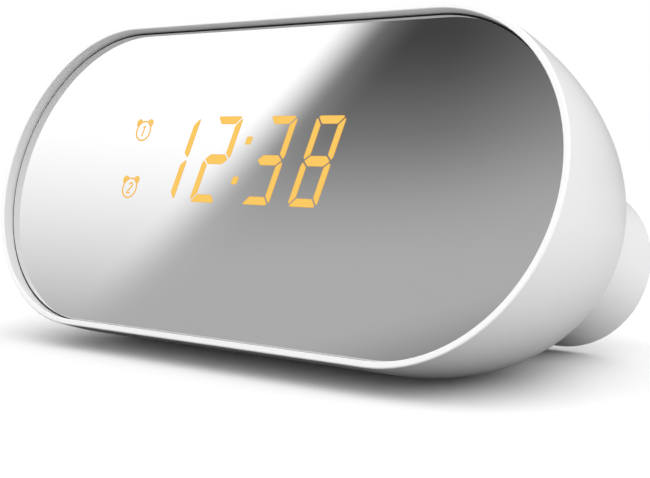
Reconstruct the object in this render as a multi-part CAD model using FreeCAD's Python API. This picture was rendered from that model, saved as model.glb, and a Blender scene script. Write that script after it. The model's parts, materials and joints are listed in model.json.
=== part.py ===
import FreeCAD, Part
import math
import os

# Mirror-fronted clock radio, in millimetres.
#
# The case is a shallow bowl whose front outline is a stadium: a straight stretch
# with a half circle at each end.  A smaller stadium drum stands out of its back,
# and the whole case leans back on two pairs of rubber feet.
#
# Every piece is modelled in the case's own upright frame:
#   x  to the right, seen from the front
#   y  into the case, with 0 on the plane of the front lip
#   z  up along the mirror, with 0 at the mirror's middle
# export() then leans each piece back and sets it on the floor.

V = FreeCAD.Vector

# ---- driving dimensions -------------------------------------------------------
HALF_STRAIGHT = 48.4        # half the straight stretch of the stadium outline
CASE_RADIUS = 40.6          # radius of the outline's two round ends
LEAN = 18.0                 # degrees that the case leans back
WALL = 2.2                  # wall of the moulded bowl
BOWL_START = 3.9            # depth where the side starts to curve in
BOWL_DEPTH = 61.6           # half axis of the side's elliptical curve
LIP_WIDTH = 1.5
LIP_EDGE = 0.4              # rounding of the lip's outer edge
WINDOW_SETBACK = 2.8        # mirror's face behind the lip
WINDOW_THICK = 2.0
WINDOW_GAP = 0.33           # gap between mirror and lip
WINDOW_BEVEL = 0.3          # on the front rim of the mirror
DRUM_RADIUS = 20.9
DRUM_BACK = 79.5            # depth of the drum's rear face
DRUM_WALL = 2.0
DRUM_EDGE = 2.0             # rounding of the drum's rear edge
SPIGOT_RADIUS = 18.5        # drum's front end, inside the bowl's hole
SPIGOT_WALL = 1.5
PARTING_GAP = 0.1
FLOOR = 45.1                # height of the mirror's middle above the floor
KEY_COUNT = 8
KEY_PITCH = 11.0
KEY_TRAVEL = 0.8            # how far a key goes down when it is pressed
SNOOZE_TRAVEL = 1.2
DIGIT_HEIGHT = 22.3
DIGIT_WIDTH = 9.25
DIGIT_SLANT = 9.5           # degrees
DIGIT_BOTTOM = -6.45
DIGITS = [("1", -31.75), ("2", -17.25), ("3", 0.35), ("8", 15.1)]   # each with its left edge
LIT = {"1": ["upper_right", "lower_right"],
       "2": ["top", "upper_right", "middle", "lower_left", "bottom"],
       "3": ["top", "upper_right", "middle", "lower_right", "bottom"],
       "8": ["top", "upper_right", "upper_left", "middle", "lower_right", "lower_left", "bottom"]}
SEGMENT_GAP = 0.4
SIDE_BAR = 2.3              # pitch width of a digit's upright segments
END_BAR = 2.4               # and of its top and bottom segments
MIDDLE_BAR = 2.9
CORNER_CLIP = 1.0
COLON_DOTS = [(-2.3, 8.55), (-4.1, -1.45)]
COLON_DOT_SIZE = (1.9, 1.95)
ICONS = [("1", -39.45, 11.9), ("2", -39.75, -3.35)]
ICON_RADIUS = 2.55          # middle of the ring's stroke
ICON_STROKE = 0.5

# ---- sizes worked out from them -----------------------------------------------
OPENING_RADIUS = CASE_RADIUS - LIP_WIDTH
WINDOW_RADIUS = OPENING_RADIUS - WINDOW_GAP
WINDOW_BACK = WINDOW_SETBACK + WINDOW_THICK
GASKET_THICK = 0.3
GASKET_CLEARANCE = 0.03
LEDGE = WINDOW_BACK + GASKET_THICK
LEDGE_RADIUS = 36.3
CARRIER_THICK = 1.8
CARRIER_FRONT = LEDGE + 0.3
SHELF = CARRIER_FRONT + CARRIER_THICK
SHELF_THICK = 2.2
SHELF_RADIUS = 31.5
DRUM_INNER = DRUM_RADIUS - DRUM_WALL
DRUM_WALL_FRONT = DRUM_BACK - DRUM_WALL
SPIGOT_FRONT = 54.5
SPIGOT_BACK = 61.0
HOLE_RADIUS = SPIGOT_RADIUS + PARTING_GAP

CHASSIS_FRONT = 42.0
CHASSIS_BACK = 44.0
CHASSIS_RADIUS = 26.0
CHASSIS_FIXINGS = [(x, z) for x in (-62.0, 62.0) for z in (-17.0, 17.0)]
CASE_FIXINGS = [(-57.0, -9.0), (-57.0, 9.0), (25.5, -13.0), (25.5, 13.0)]
BOSS_JOIN = 66.0            # where the case bosses meet inside the drum
HEAD_SHELF = 73.0           # depth of the shelf under each case screw's head

MAIN_BOARD = (108.0, 44.0)  # width, height
MAIN_BOARD_BACK = 37.6
BOARD_THICK = 1.6
MAIN_FIXINGS = [(x, z) for x in (-50.0, 50.0) for z in (-18.0, 18.0)]

LARGE_CAN = (4.0, 11.0)     # radius, height
MEDIUM_CAN = (3.15, 9.0)
SMALL_CAN = (2.5, 7.0)
CAPACITORS = [(-44, 8, LARGE_CAN), (-34, 8, LARGE_CAN), (-44, -6, MEDIUM_CAN),
              (-36, -6, MEDIUM_CAN), (-14, -15, SMALL_CAN), (-4, -17, SMALL_CAN)]

MODULE_X = (-47.0, 32.0)
MODULE_Z = (-10.0, 20.0)
MODULE_FRONT = WINDOW_BACK + 0.35
MODULE_BACK = MODULE_FRONT + 8.0
SEGMENT_DEPTH = 4.0
DISPLAY_BOARD_BACK = MODULE_BACK + BOARD_THICK
DISPLAY_FIXINGS = [(x, z) for x in (-53.0, 38.0) for z in (-7.0, 17.0)]

CONTROL_DEPTH = 24.0        # depth of the control area's middle on the shell's top
CONTROL_SLOPE = 14.0        # degrees that its plane falls to the rear
SNOOZE_SIZE = (62.0, 9.0)
SNOOZE_PLACE = -7.0         # along the slope from the control area's middle
KEY_SIZE = (8.4, 6.4)
KEY_PLACE = 6.5
KEY_PROUD = 0.7
KEY_CLEARANCE = 0.3
KEY_BOARD_TOP = -10.4       # under the control area's plane
KEY_BOARD = (101.0, 22.0)
SWITCH_HEIGHT = 3.4
KEY_CORNER = 1.8            # rounding of a key's outline
FLANGE_THICK = 1.2          # flange that keeps a key under the shell
FLANGE_WIDTH = 1.2
STEM_RADIUS = 1.3
STEM_END = KEY_BOARD_TOP + SWITCH_HEIGHT - 0.4      # each stem's tip is just inside its switch
WELL_FLOOR = STEM_END - max(KEY_TRAVEL, SNOOZE_TRAVEL) - 0.4
KEY_FIXINGS = [(x, t) for x in (-47.0, 47.0) for t in (-8.5, 8.5)]
KEY_NAMES = ["alarm_one_key", "alarm_two_key", "sleep_key", "set_key",
             "tune_down_key", "tune_up_key", "volume_down_key", "volume_up_key"]

DOOR_X = (-51.0, 1.0)       # door's opening in the drum's rear wall
DOOR_BOTTOM = -12.0
DOOR_GAP = 0.3
FLANGE_REACH = 1.2
FLANGE_Y = (76.4, DRUM_WALL_FRONT)
CELL_RADIUS = 5.25
CELL_LENGTH = 44.5          # over the nub
CELL_NUB = (1.9, 1.0)       # radius, height
CELL_DEPTH = 70.4
CELL_HEIGHTS = (5.7, -5.7)  # the upper cell's nub points right, the lower one's left
BATTERY_BAY = (-50.4, 0.4)  # between the battery box's end walls
BAY_MIDDLE = (BATTERY_BAY[0] + BATTERY_BAY[1]) / 2
BAY_HALF = (BATTERY_BAY[1] - BATTERY_BAY[0]) / 2
BAY_FRONT = 64.6            # depth of the bay's floor, in front of the cells
BAY_OPEN_DEPTH = 76.0       # depth of the box's open rear edge
BAY_HALF_HEIGHT = 11.4
BATTERY_BOX_WALL = 1.4
CONTACT_THICK = 0.35
CONTACT_GAP = 0.05          # left between touching pieces
NUB_TIP = BAY_HALF - CONTACT_GAP - CONTACT_THICK - CONTACT_GAP   # from the bay's middle

SPEAKER_X = HALF_STRAIGHT
SPEAKER_RADIUS = 18.0
SPEAKER_FACE = 76.4         # depth of the speaker rim's rear-facing side
SPEAKER_OPEN_RADIUS = 16.2  # inside the speaker's rim
GRILLE_FIELD = 15.0         # radius of the field of slots over it
JACK = (11.5, -9.0)
GROMMET = (11.5, 9.0)

FRONT_FEET_X = 36.0
FRONT_FEET_DEPTH = 31.0     # case depth above which the front feet stand
FRONT_FOOT_RADIUS = 6.0
FRONT_FOOT_HEIGHT = 1.8
REAR_FEET_X = 42.0
REAR_FOOT_RADIUS = 4.0
REAR_FEET_DEPTH = 73.0
LABEL_SIZE = (54.0, 12.0, 0.15)
LABEL_DEPTH = 68.0          # depth of the label's middle under the drum

# Radii of fasteners and of the holes they go through or bite into.
SMALL_SCREW = 0.93
SMALL_PILOT = 0.97
SMALL_HOLE = 1.1
SMALL_HEAD = 1.8
CHASSIS_SCREW = 1.23
CHASSIS_PILOT = 1.27
CHASSIS_HEAD = 2.6
CASE_SCREW = 1.5
CASE_PILOT = 1.53
CASE_HOLE = 1.7
CASE_HEAD = 2.9
CASE_COUNTERBORE = 3.1


# ---- placing -------------------------------------------------------------------
def lean_point(x, y, z):
    """A point of the upright case frame, leaned back, before it stands on the floor."""
    angle = math.radians(LEAN)
    return V(x, y * math.cos(angle) + z * math.sin(angle), z * math.cos(angle) - y * math.sin(angle))


FRONT_Y = lean_point(0, LIP_EDGE, LIP_EDGE - CASE_RADIUS).y - LIP_EDGE
BACK_Y = lean_point(0, DRUM_BACK - DRUM_EDGE, DRUM_RADIUS - DRUM_EDGE).y + DRUM_EDGE
MIDDLE_Y = (FRONT_Y + BACK_Y) / 2
STANDING = FreeCAD.Placement(V(0, -MIDDLE_Y, FLOOR), FreeCAD.Rotation(V(1, 0, 0), -LEAN))
UPRIGHT = STANDING.inverse()


def placed(shape, placement):
    moved = shape.copy()
    moved.Placement = placement.multiply(moved.Placement)
    return moved


def export(shape, name):
    """Lean the piece back, stand it on the floor and write it."""
    placed(shape, STANDING).exportStep("parts/" + name + ".step")


def join(shapes):
    """One shape from touching solids."""
    return shapes[0].fuse(shapes[1:]).removeSplitter()


# ---- plain solids ---------------------------------------------------------------
def box(xs, ys, zs):
    size = (xs[1] - xs[0], ys[1] - ys[0], zs[1] - zs[0])
    return Part.makeBox(size[0], size[1], size[2], V(xs[0], ys[0], zs[0]))


def rod(x, z, radius, y_start, y_end):
    """A cylinder along the case's depth."""
    return Part.makeCylinder(radius, y_end - y_start, V(x, y_start, z), V(0, 1, 0))


def post(x, y, radius, z_start, z_end):
    """An upright cylinder."""
    return Part.makeCylinder(radius, z_end - z_start, V(x, y, z_start), V(0, 0, 1))


def round_box(width, length, corner, low, high):
    """A block about the origin with rounded upright edges."""
    half_w = width / 2 - corner
    half_l = length / 2 - corner
    corners = [(half_w, half_l, 0), (-half_w, half_l, 90), (-half_w, -half_l, 180), (half_w, -half_l, 270)]
    arcs = []
    for x, y, start in corners:
        angles = [math.radians(start + step) for step in (0, 45, 90)]
        points = [V(x + corner * math.cos(a), y + corner * math.sin(a), low) for a in angles]
        arcs.append(Part.Arc(*points).toShape())
    edges = []
    for arc, following in zip(arcs, arcs[1:] + arcs[:1]):
        edges.append(arc)
        start = arc.Vertexes[-1].Point
        end = following.Vertexes[0].Point
        if start.distanceToPoint(end) > 1e-6:
            edges.append(Part.makeLine(start, end))
    return Part.Face(Part.Wire(edges)).extrude(V(0, 0, high - low))


def plate(points, y_start, y_end):
    """A flat piece of the mirror's plane, from its outline's (x, z) points."""
    corners = [V(x, y_start, z) for x, z in points]
    return Part.Face(Part.makePolygon(corners + corners[:1])).extrude(V(0, y_end - y_start, 0))


# ---- stadium solids ---------------------------------------------------------------
def section_point(y, radius):
    return V(0, y, radius)


def lines(points):
    spots = [section_point(y, radius) for y, radius in points]
    return [Part.makeLine(a, b) for a, b in zip(spots, spots[1:])]


def around(section):
    """Carry a half section (y, radius) once round the stadium."""
    right = section.translated(V(HALF_STRAIGHT, 0, 0))
    left = section.translated(V(-HALF_STRAIGHT, 0, 0))
    upper = left.extrude(V(2 * HALF_STRAIGHT, 0, 0))
    lower = upper.mirror(V(0, 0, 0), V(0, 0, 1))
    ends = [right.revolve(V(HALF_STRAIGHT, 0, 0), V(0, 1, 0), 180),
            left.revolve(V(-HALF_STRAIGHT, 0, 0), V(0, 1, 0), -180)]
    return join([upper, lower] + ends)


def stadium_face(radius, y):
    ends = []
    for side in (1, -1):
        x = side * HALF_STRAIGHT
        height = side * radius
        ends.append(Part.Arc(V(x, y, height), V(x + height, y, 0), V(x, y, -height)).toShape())
    top = Part.makeLine(V(-HALF_STRAIGHT, y, radius), V(HALF_STRAIGHT, y, radius))
    bottom = Part.makeLine(V(HALF_STRAIGHT, y, -radius), V(-HALF_STRAIGHT, y, -radius))
    return Part.Face(Part.Wire([top, ends[0], bottom, ends[1]]))


def stadium(radius, y_start, y_end):
    return stadium_face(radius, y_start).extrude(V(0, y_end - y_start, 0))


def stadium_ring(outer, inner, y_start, y_end):
    return stadium(outer, y_start, y_end).cut(stadium(inner, y_start - 1, y_end + 1))


def bowl_radius(y, inset=0.0):
    """Radius of the bowl's side at a depth, or of the same curve set in from it."""
    share = max(0.0, (y - BOWL_START) / (BOWL_DEPTH - inset))
    return (CASE_RADIUS - inset) * math.sqrt(1 - share * share)


def bowl_depth(radius, inset=0.0):
    """Depth where the bowl's side has this radius."""
    share = radius / (CASE_RADIUS - inset)
    return BOWL_START + (BOWL_DEPTH - inset) * math.sqrt(1 - share * share)


def bowl_curve(radius_start, radius_end, inset=0.0):
    """The stretch of the side's elliptical curve between two radii."""
    across = CASE_RADIUS - inset
    along = BOWL_DEPTH - inset
    ellipse = Part.Ellipse(section_point(BOWL_START + along, 0), section_point(BOWL_START, across),
                           section_point(BOWL_START, 0))
    ends = [section_point(bowl_depth(radius, inset), radius) for radius in (radius_start, radius_end)]
    turns = sorted(ellipse.parameter(end) for end in ends)
    return Part.ArcOfEllipse(ellipse, turns[0], turns[1]).toShape()


def bowl_core(inset, y_front):
    """The bowl as a full solid, set in by inset, as far back as the drum's root."""
    stop = 14.0
    edges = [bowl_curve(CASE_RADIUS - inset, stop, inset)]
    edges += lines([(BOWL_START, CASE_RADIUS - inset), (y_front, CASE_RADIUS - inset), (y_front, 0),
                    (bowl_depth(stop, inset), 0), (bowl_depth(stop, inset), stop)])
    return around(Part.Face(Part.Wire(Part.__sortEdges__(edges))))


# ---- control area on the shell's top ------------------------------------------------
CONTROL_PLANE = FreeCAD.Placement(V(0, CONTROL_DEPTH, bowl_radius(CONTROL_DEPTH)),
                                  FreeCAD.Rotation(V(1, 0, 0), -CONTROL_SLOPE))


def on_control(shape, x, place):
    """Move a shape made about the origin to a spot of the sloping control area."""
    moved = shape.copy()
    moved.translate(V(x, place, 0))
    return placed(moved, CONTROL_PLANE)


def control_height(place, inset=0.0):
    """Height of the bowl's side over the control area's plane."""
    slope = math.radians(CONTROL_SLOPE)
    y = CONTROL_DEPTH + place * math.cos(slope)
    z = bowl_radius(CONTROL_DEPTH) - place * math.sin(slope)
    return (bowl_radius(y, inset) - z) * math.cos(slope)


def above_side(place, lift):
    """Everything over the side's tangent plane at a spot of the control area."""
    y = CONTROL_DEPTH + place * math.cos(math.radians(CONTROL_SLOPE))
    fall = math.degrees(math.atan((bowl_radius(y - 1) - bowl_radius(y + 1)) / 2))
    block = Part.makeBox(200, 60, 30, V(-100, -30, lift))
    return placed(block, FreeCAD.Placement(V(0, y, bowl_radius(y)), FreeCAD.Rotation(V(1, 0, 0), -fall)))


def key_spots():
    """Middle of each key along x."""
    first = -KEY_PITCH * (KEY_COUNT - 1) / 2
    return [first + KEY_PITCH * number for number in range(KEY_COUNT)]


def control_key(size, place, x, flange_drop, corner):
    """A key cap with a retaining flange and a stem that reaches into its switch."""
    flange_top = control_height(place, WALL) - flange_drop
    flange_low = flange_top - FLANGE_THICK
    cap = on_control(round_box(size[0], size[1], corner, flange_low, 4.0), x, place)
    cap = cap.cut(above_side(place, KEY_PROUD))
    top = max(cap.Faces, key=lambda face: face.CenterOfMass.z)
    cap = cap.makeFillet(0.45, top.Edges)
    reach = FLANGE_WIDTH
    flange = round_box(size[0] + 2 * reach, size[1] + 2 * reach, corner + reach / 2, flange_low, flange_top)
    stem = Part.makeCylinder(STEM_RADIUS, flange_low - STEM_END, V(0, 0, STEM_END), V(0, 0, 1))
    return join([cap, on_control(flange, x, place), on_control(stem, x, place)])


def make_snooze_bar():
    return control_key(SNOOZE_SIZE, SNOOZE_PLACE, 0, 1.0, SNOOZE_SIZE[1] / 2 - 0.01)


def make_key(x):
    return control_key(KEY_SIZE, KEY_PLACE, x, 0.7, KEY_CORNER)


def control_openings():
    """Holes through the shell for the snooze bar and the keys."""
    gap = 2 * KEY_CLEARANCE
    width, length = SNOOZE_SIZE
    bar = round_box(width + gap, length + gap, (length + gap) / 2 - 0.01, -6, 6)
    holes = [on_control(bar, 0, SNOOZE_PLACE)]
    for x in key_spots():
        hole = round_box(KEY_SIZE[0] + gap, KEY_SIZE[1] + gap, KEY_CORNER + KEY_CLEARANCE, -6, 6)
        holes.append(on_control(hole, x, KEY_PLACE))
    return holes


def make_key_board():
    low = KEY_BOARD_TOP - BOARD_THICK
    board = on_control(round_box(KEY_BOARD[0], KEY_BOARD[1], 1.0, low, KEY_BOARD_TOP), 0, 0)
    for x, place in KEY_FIXINGS:
        board = board.cut(on_control(Part.makeCylinder(SMALL_HOLE, 4, V(0, 0, low - 1)), x, place))
    return board


def make_key_switches():
    """One tactile switch under the snooze bar and one under each key."""
    spots = [(0, SNOOZE_PLACE)] + [(x, KEY_PLACE) for x in key_spots()]
    body = round_box(6.0, 6.0, 0.4, KEY_BOARD_TOP, KEY_BOARD_TOP + SWITCH_HEIGHT)
    well = Part.makeCylinder(STEM_RADIUS + 0.5, 5, V(0, 0, WELL_FLOOR))
    switch = body.cut(well)
    return Part.makeCompound([on_control(switch, x, place) for x, place in spots])


def make_key_board_screws():
    low = KEY_BOARD_TOP - BOARD_THICK
    head = Part.makeCylinder(SMALL_HEAD, 1.4, V(0, 0, low - 1.4))
    shank = Part.makeCylinder(SMALL_SCREW, 6.0, V(0, 0, low - 0.5))
    slot = Part.makeBox(3.0, 0.6, 0.5, V(-1.5, -0.3, low - 1.4))
    screw = head.fuse(shank).cut(slot)
    return Part.makeCompound([on_control(screw, x, place) for x, place in KEY_FIXINGS])


# ---- case -----------------------------------------------------------------------------
def shell_section():
    """Half section of the bowl's wall, lip, mirror ledge and carrier shelf."""
    edge = LIP_EDGE
    shelf_back = SHELF + SHELF_THICK
    inner_start = bowl_radius(shelf_back, WALL)
    corner = Part.Arc(section_point(0, CASE_RADIUS - edge),
                      section_point(edge * (1 - math.sqrt(0.5)), CASE_RADIUS - edge * (1 - math.sqrt(0.5))),
                      section_point(edge, CASE_RADIUS)).toShape()
    chamfer = 0.15
    edges = lines([(0, OPENING_RADIUS + chamfer), (0, CASE_RADIUS - edge)])
    edges.append(corner)
    edges += lines([(edge, CASE_RADIUS), (BOWL_START, CASE_RADIUS)])
    edges.append(bowl_curve(CASE_RADIUS, HOLE_RADIUS))
    edges += lines([(bowl_depth(HOLE_RADIUS), HOLE_RADIUS), (bowl_depth(HOLE_RADIUS, WALL), HOLE_RADIUS)])
    edges.append(bowl_curve(inner_start, HOLE_RADIUS, WALL))
    edges += lines([(shelf_back, inner_start), (shelf_back, SHELF_RADIUS), (SHELF, SHELF_RADIUS),
                    (SHELF, LEDGE_RADIUS), (LEDGE, LEDGE_RADIUS), (LEDGE, OPENING_RADIUS),
                    (chamfer, OPENING_RADIUS), (0, OPENING_RADIUS + chamfer)])
    return Part.Face(Part.Wire(Part.__sortEdges__(edges)))


def front_foot(radius, low, high):
    """An upright cylinder of the standing case, given in the case's own frame."""
    spot = lean_point(0, FRONT_FEET_DEPTH, -bowl_radius(FRONT_FEET_DEPTH))
    shapes = []
    for x in (-FRONT_FEET_X, FRONT_FEET_X):
        shapes.append(placed(post(x, spot.y - MIDDLE_Y, radius, low, high), UPRIGHT))
    return shapes


def rear_foot(radius, low, high):
    spot = lean_point(0, REAR_FEET_DEPTH, -DRUM_RADIUS)
    pads = []
    under = box((-100, 100), (40, 100), (-60, 0.5 - DRUM_RADIUS))
    for x in (-REAR_FEET_X, REAR_FEET_X):
        pads.append(placed(post(x, spot.y - MIDDLE_Y, radius, low, high), UPRIGHT).common(under))
    return pads


def make_front_shell():
    shell = around(shell_section())
    inside = bowl_core(0.6, LEDGE)
    bosses = [rod(x, z, 3.2, CHASSIS_BACK, 60) for x, z in CHASSIS_FIXINGS]
    for x, place in KEY_FIXINGS:
        bosses.append(on_control(Part.makeCylinder(2.4, 14.0, V(0, 0, KEY_BOARD_TOP)), x, place))
    shell = join([shell] + [boss.common(inside) for boss in bosses])
    holes = control_openings() + front_foot(FRONT_FOOT_RADIUS + 0.1, -1, FRONT_FOOT_HEIGHT)
    holes += [rod(x, z, CHASSIS_PILOT, CHASSIS_BACK - 1, CHASSIS_BACK + 7) for x, z in CHASSIS_FIXINGS]
    for x, place in KEY_FIXINGS:
        holes.append(on_control(Part.makeCylinder(SMALL_PILOT, 6.5, V(0, 0, KEY_BOARD_TOP - 1)), x, place))
    for x, z in carrier_fixings():
        holes.append(rod(x, z, SMALL_PILOT, SHELF - 1, SHELF + SHELF_THICK + 1))
    return shell.cut(holes)


def make_front_feet():
    return Part.makeCompound(front_foot(FRONT_FOOT_RADIUS, 0, FRONT_FOOT_HEIGHT))


def make_rear_feet():
    return Part.makeCompound(rear_foot(REAR_FOOT_RADIUS, 0, 8))


def drum_solid():
    """Outer form of the drum, from well inside the bowl to its rear face."""
    start = 50.0
    edge = DRUM_EDGE
    middle = section_point(DRUM_BACK - edge * (1 - math.sqrt(0.5)), DRUM_RADIUS - edge * (1 - math.sqrt(0.5)))
    corner = Part.Arc(section_point(DRUM_BACK - edge, DRUM_RADIUS), middle,
                      section_point(DRUM_BACK, DRUM_RADIUS - edge)).toShape()
    edges = lines([(start, 0), (start, DRUM_RADIUS), (DRUM_BACK - edge, DRUM_RADIUS)])
    edges.append(corner)
    edges += lines([(DRUM_BACK, DRUM_RADIUS - edge), (DRUM_BACK, 0), (start, 0)])
    return around(Part.Face(Part.Wire(edges)))


def grille_slots():
    """Upright slots over the speaker, each as tall as the round field allows."""
    slots = []
    for number in range(-5, 6):
        offset = 2.7 * number
        half = math.sqrt(GRILLE_FIELD * GRILLE_FIELD - offset * offset)
        slot = round_box(1.4, 2 * half, 0.69, -4, 4)
        slot.rotate(V(0, 0, 0), V(1, 0, 0), 90)
        slot.translate(V(SPEAKER_X + offset, DRUM_BACK - 1, 0))
        slots.append(slot)
    return slots


def door_slots(gap):
    """Room for the battery door in the rear wall, with its flange behind the wall."""
    flange = FLANGE_REACH - DOOR_GAP
    panel = box((DOOR_X[0] + gap, DOOR_X[1] - gap), (FLANGE_Y[1] - 0.1, 85), (DOOR_BOTTOM + gap, 30))
    wide = box((DOOR_X[0] - flange - DOOR_GAP + gap, DOOR_X[1] + flange + DOOR_GAP - gap),
               (FLANGE_Y[0] - DOOR_GAP + gap, FLANGE_Y[1] - gap / 3), (DOOR_BOTTOM - FLANGE_REACH + gap, 30))
    return [panel, wide]


def make_rear_housing():
    drum = drum_solid().cut(bowl_core(-PARTING_GAP, 0))
    drum = drum.fuse(stadium(SPIGOT_RADIUS, SPIGOT_FRONT, SPIGOT_BACK + 1))
    drum = drum.cut([stadium(SPIGOT_RADIUS - SPIGOT_WALL, SPIGOT_FRONT - 1, SPIGOT_BACK),
                     stadium(DRUM_INNER, SPIGOT_BACK, DRUM_WALL_FRONT)])
    bosses = [rod(x, z, 4.2, BOSS_JOIN, DRUM_WALL_FRONT) for x, z in CASE_FIXINGS]
    ring = rod(SPEAKER_X, 0, SPEAKER_RADIUS + 0.4, SPEAKER_FACE + 0.05, DRUM_WALL_FRONT)
    ring = ring.cut(rod(SPEAKER_X, 0, SPEAKER_OPEN_RADIUS + 0.2, SPEAKER_FACE - 1, DRUM_WALL_FRONT + 1))
    drum = drum.fuse(bosses + [ring]).removeSplitter()
    holes = grille_slots() + door_slots(0.0) + rear_foot(REAR_FOOT_RADIUS + 0.1, -1, 9)
    for x, z in CASE_FIXINGS:
        holes.append(rod(x, z, CASE_HOLE, BOSS_JOIN - 1, HEAD_SHELF + 1))
        holes.append(rod(x, z, CASE_COUNTERBORE, HEAD_SHELF, DRUM_BACK + 1))
    holes.append(rod(JACK[0], JACK[1], 4.3, DRUM_WALL_FRONT - 1, DRUM_BACK + 1))
    holes.append(rod(GROMMET[0], GROMMET[1], 2.6, DRUM_WALL_FRONT - 1, DRUM_BACK + 1))
    return drum.cut(holes)


def make_battery_door():
    """Sliding panel flush with the drum, with a flange behind the wall and grip grooves."""
    slots = door_slots(DOOR_GAP)
    door = drum_solid().common(slots[0].fuse(slots[1]))
    middle = (DOOR_X[0] + DOOR_X[1]) / 2
    for number in range(4):
        groove = round_box(16.0, 1.0, 0.49, -1, 1)
        groove.rotate(V(0, 0, 0), V(1, 0, 0), 90)
        groove.translate(V(middle, DRUM_BACK + 0.4, 7.0 + 2.2 * number))
        door = door.cut(groove)
    return door


def make_battery_box():
    """Tray for the two cells, open towards the battery door."""
    wall = BATTERY_BOX_WALL
    inside = BAY_HALF_HEIGHT
    outside = inside + wall
    inner = box(BATTERY_BAY, (BAY_FRONT, BAY_OPEN_DEPTH + 1), (-inside, inside))
    outer = box((BATTERY_BAY[0] - wall, BATTERY_BAY[1] + wall), (BAY_FRONT - wall, BAY_OPEN_DEPTH),
                (-outside, outside))
    return outer.cut(inner)


def for_each_cell(make):
    """Make a piece for the upper cell, pointing right, and one turned round for the lower."""
    upper = make().translated(V(BAY_MIDDLE, CELL_DEPTH, CELL_HEIGHTS[0]))
    lower = make()
    lower.rotate(V(0, 0, 0), V(0, 1, 0), 180)
    lower.translate(V(BAY_MIDDLE, CELL_DEPTH, CELL_HEIGHTS[1]))
    return Part.makeCompound([upper, lower])


def cell():
    """One cell about the bay's middle, with its nub against the right-hand contact."""
    radius, height = CELL_NUB
    start = NUB_TIP - CELL_LENGTH
    body = Part.makeCylinder(CELL_RADIUS, CELL_LENGTH - height, V(start, 0, 0), V(1, 0, 0))
    body = body.makeFillet(0.6, body.Edges)
    nub = Part.makeCylinder(radius, height + 0.5, V(NUB_TIP - height - 0.5, 0, 0), V(1, 0, 0))
    return body.fuse(nub)


def cell_contacts():
    """A flat contact at the nub, and a plate with a conical spring at the cell's flat end."""
    sides = ((-4.4, 5.1), (-4.5, 4.5))
    end = BAY_HALF - CONTACT_GAP
    flat = box((end - CONTACT_THICK, end), *sides)
    back = box((-end, CONTACT_THICK - end), *sides)
    spring_start = CONTACT_THICK - end
    length = NUB_TIP - CELL_LENGTH - CONTACT_GAP - spring_start
    cone = Part.makeCone(4.0, 2.6, length, V(spring_start, 0, 0), V(1, 0, 0))
    bore = Part.makeCone(3.3, 1.9, length, V(spring_start, 0, 0), V(1, 0, 0))
    return Part.makeCompound([flat, back.fuse(cone.cut(bore))])


def make_battery_cells():
    return for_each_cell(cell)


def make_battery_contacts():
    return for_each_cell(cell_contacts)


# ---- mirror and display ------------------------------------------------------------------
def make_mirror_window():
    window = stadium(WINDOW_RADIUS, WINDOW_SETBACK, WINDOW_BACK)
    front = min(window.Faces, key=lambda face: face.CenterOfMass.y)
    return window.makeChamfer(WINDOW_BEVEL, front.Edges)


def make_window_gasket():
    """Black ring behind the mirror's rim, with an upstand that fills the gap round it."""
    outer = OPENING_RADIUS - GASKET_CLEARANCE
    seat = stadium_ring(outer, LEDGE_RADIUS, WINDOW_BACK, LEDGE)
    upstand = stadium_ring(outer, WINDOW_RADIUS + GASKET_CLEARANCE, WINDOW_SETBACK + WINDOW_BEVEL, LEDGE)
    return join([seat, upstand])


def carrier_fixings():
    spots = [(x, z) for x in (-HALF_STRAIGHT, 0, HALF_STRAIGHT) for z in (-33.8, 33.8)]
    return spots + [(-HALF_STRAIGHT - 33.8, 0), (HALF_STRAIGHT + 33.8, 0)]


def make_display_carrier():
    """Dark sheet behind the mirror that holds the display and stops stray light."""
    sheet = stadium(LEDGE_RADIUS - 0.3, CARRIER_FRONT, SHELF)
    window = box((MODULE_X[0] - 0.3, MODULE_X[1] + 0.3), (0, 20), (MODULE_Z[0] - 0.3, MODULE_Z[1] + 0.3))
    posts = [rod(x, z, 2.6, SHELF, MODULE_BACK) for x, z in DISPLAY_FIXINGS]
    holes = [window] + [rod(x, z, SMALL_HOLE, 0, 20) for x, z in carrier_fixings()]
    holes += [rod(x, z, SMALL_PILOT, MODULE_BACK - 5, MODULE_BACK + 1) for x, z in DISPLAY_FIXINGS]
    return sheet.fuse(posts).cut(holes)


def small_screws(spots, head_y, shank, radius, head_radius):
    """Screws driven in along +y, with a cross-cut slot in each head."""
    screws = []
    for x, z in spots:
        head = rod(x, z, head_radius, head_y, head_y + 1.3)
        stem = rod(x, z, radius, head_y + 1.0, head_y + 1.3 + shank)
        slot = box((x - head_radius, x + head_radius), (head_y - 1, head_y + 0.5), (z - 0.3, z + 0.3))
        screws.append(head.fuse(stem).cut(slot))
    return screws


def flipped_screws(spots, seat_y, shank, radius, head_radius, head_height):
    """Screws driven in along -y from the rear, with a cross recess in each head."""
    screws = []
    for x, z in spots:
        head = rod(x, z, head_radius, seat_y, seat_y + head_height)
        stem = rod(x, z, radius, seat_y - shank, seat_y + 0.5)
        reach = head_radius * 0.62
        depths = (seat_y + head_height - 0.9, seat_y + head_height + 1)
        cross = [box((x - reach, x + reach), depths, (z - 0.35, z + 0.35)),
                 box((x - 0.35, x + 0.35), depths, (z - reach, z + reach))]
        screws.append(head.fuse(stem).cut(cross))
    return screws


def make_carrier_screws():
    """Countersunk-size heads sit in the shallow gap between the sheet and the mirror."""
    screws = []
    for x, z in carrier_fixings():
        head = rod(x, z, 1.7, CARRIER_FRONT - 0.5, CARRIER_FRONT)
        stem = rod(x, z, SMALL_SCREW, CARRIER_FRONT - 0.2, SHELF + SHELF_THICK)
        screws.append(head.fuse(stem))
    return Part.makeCompound(screws)


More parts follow.
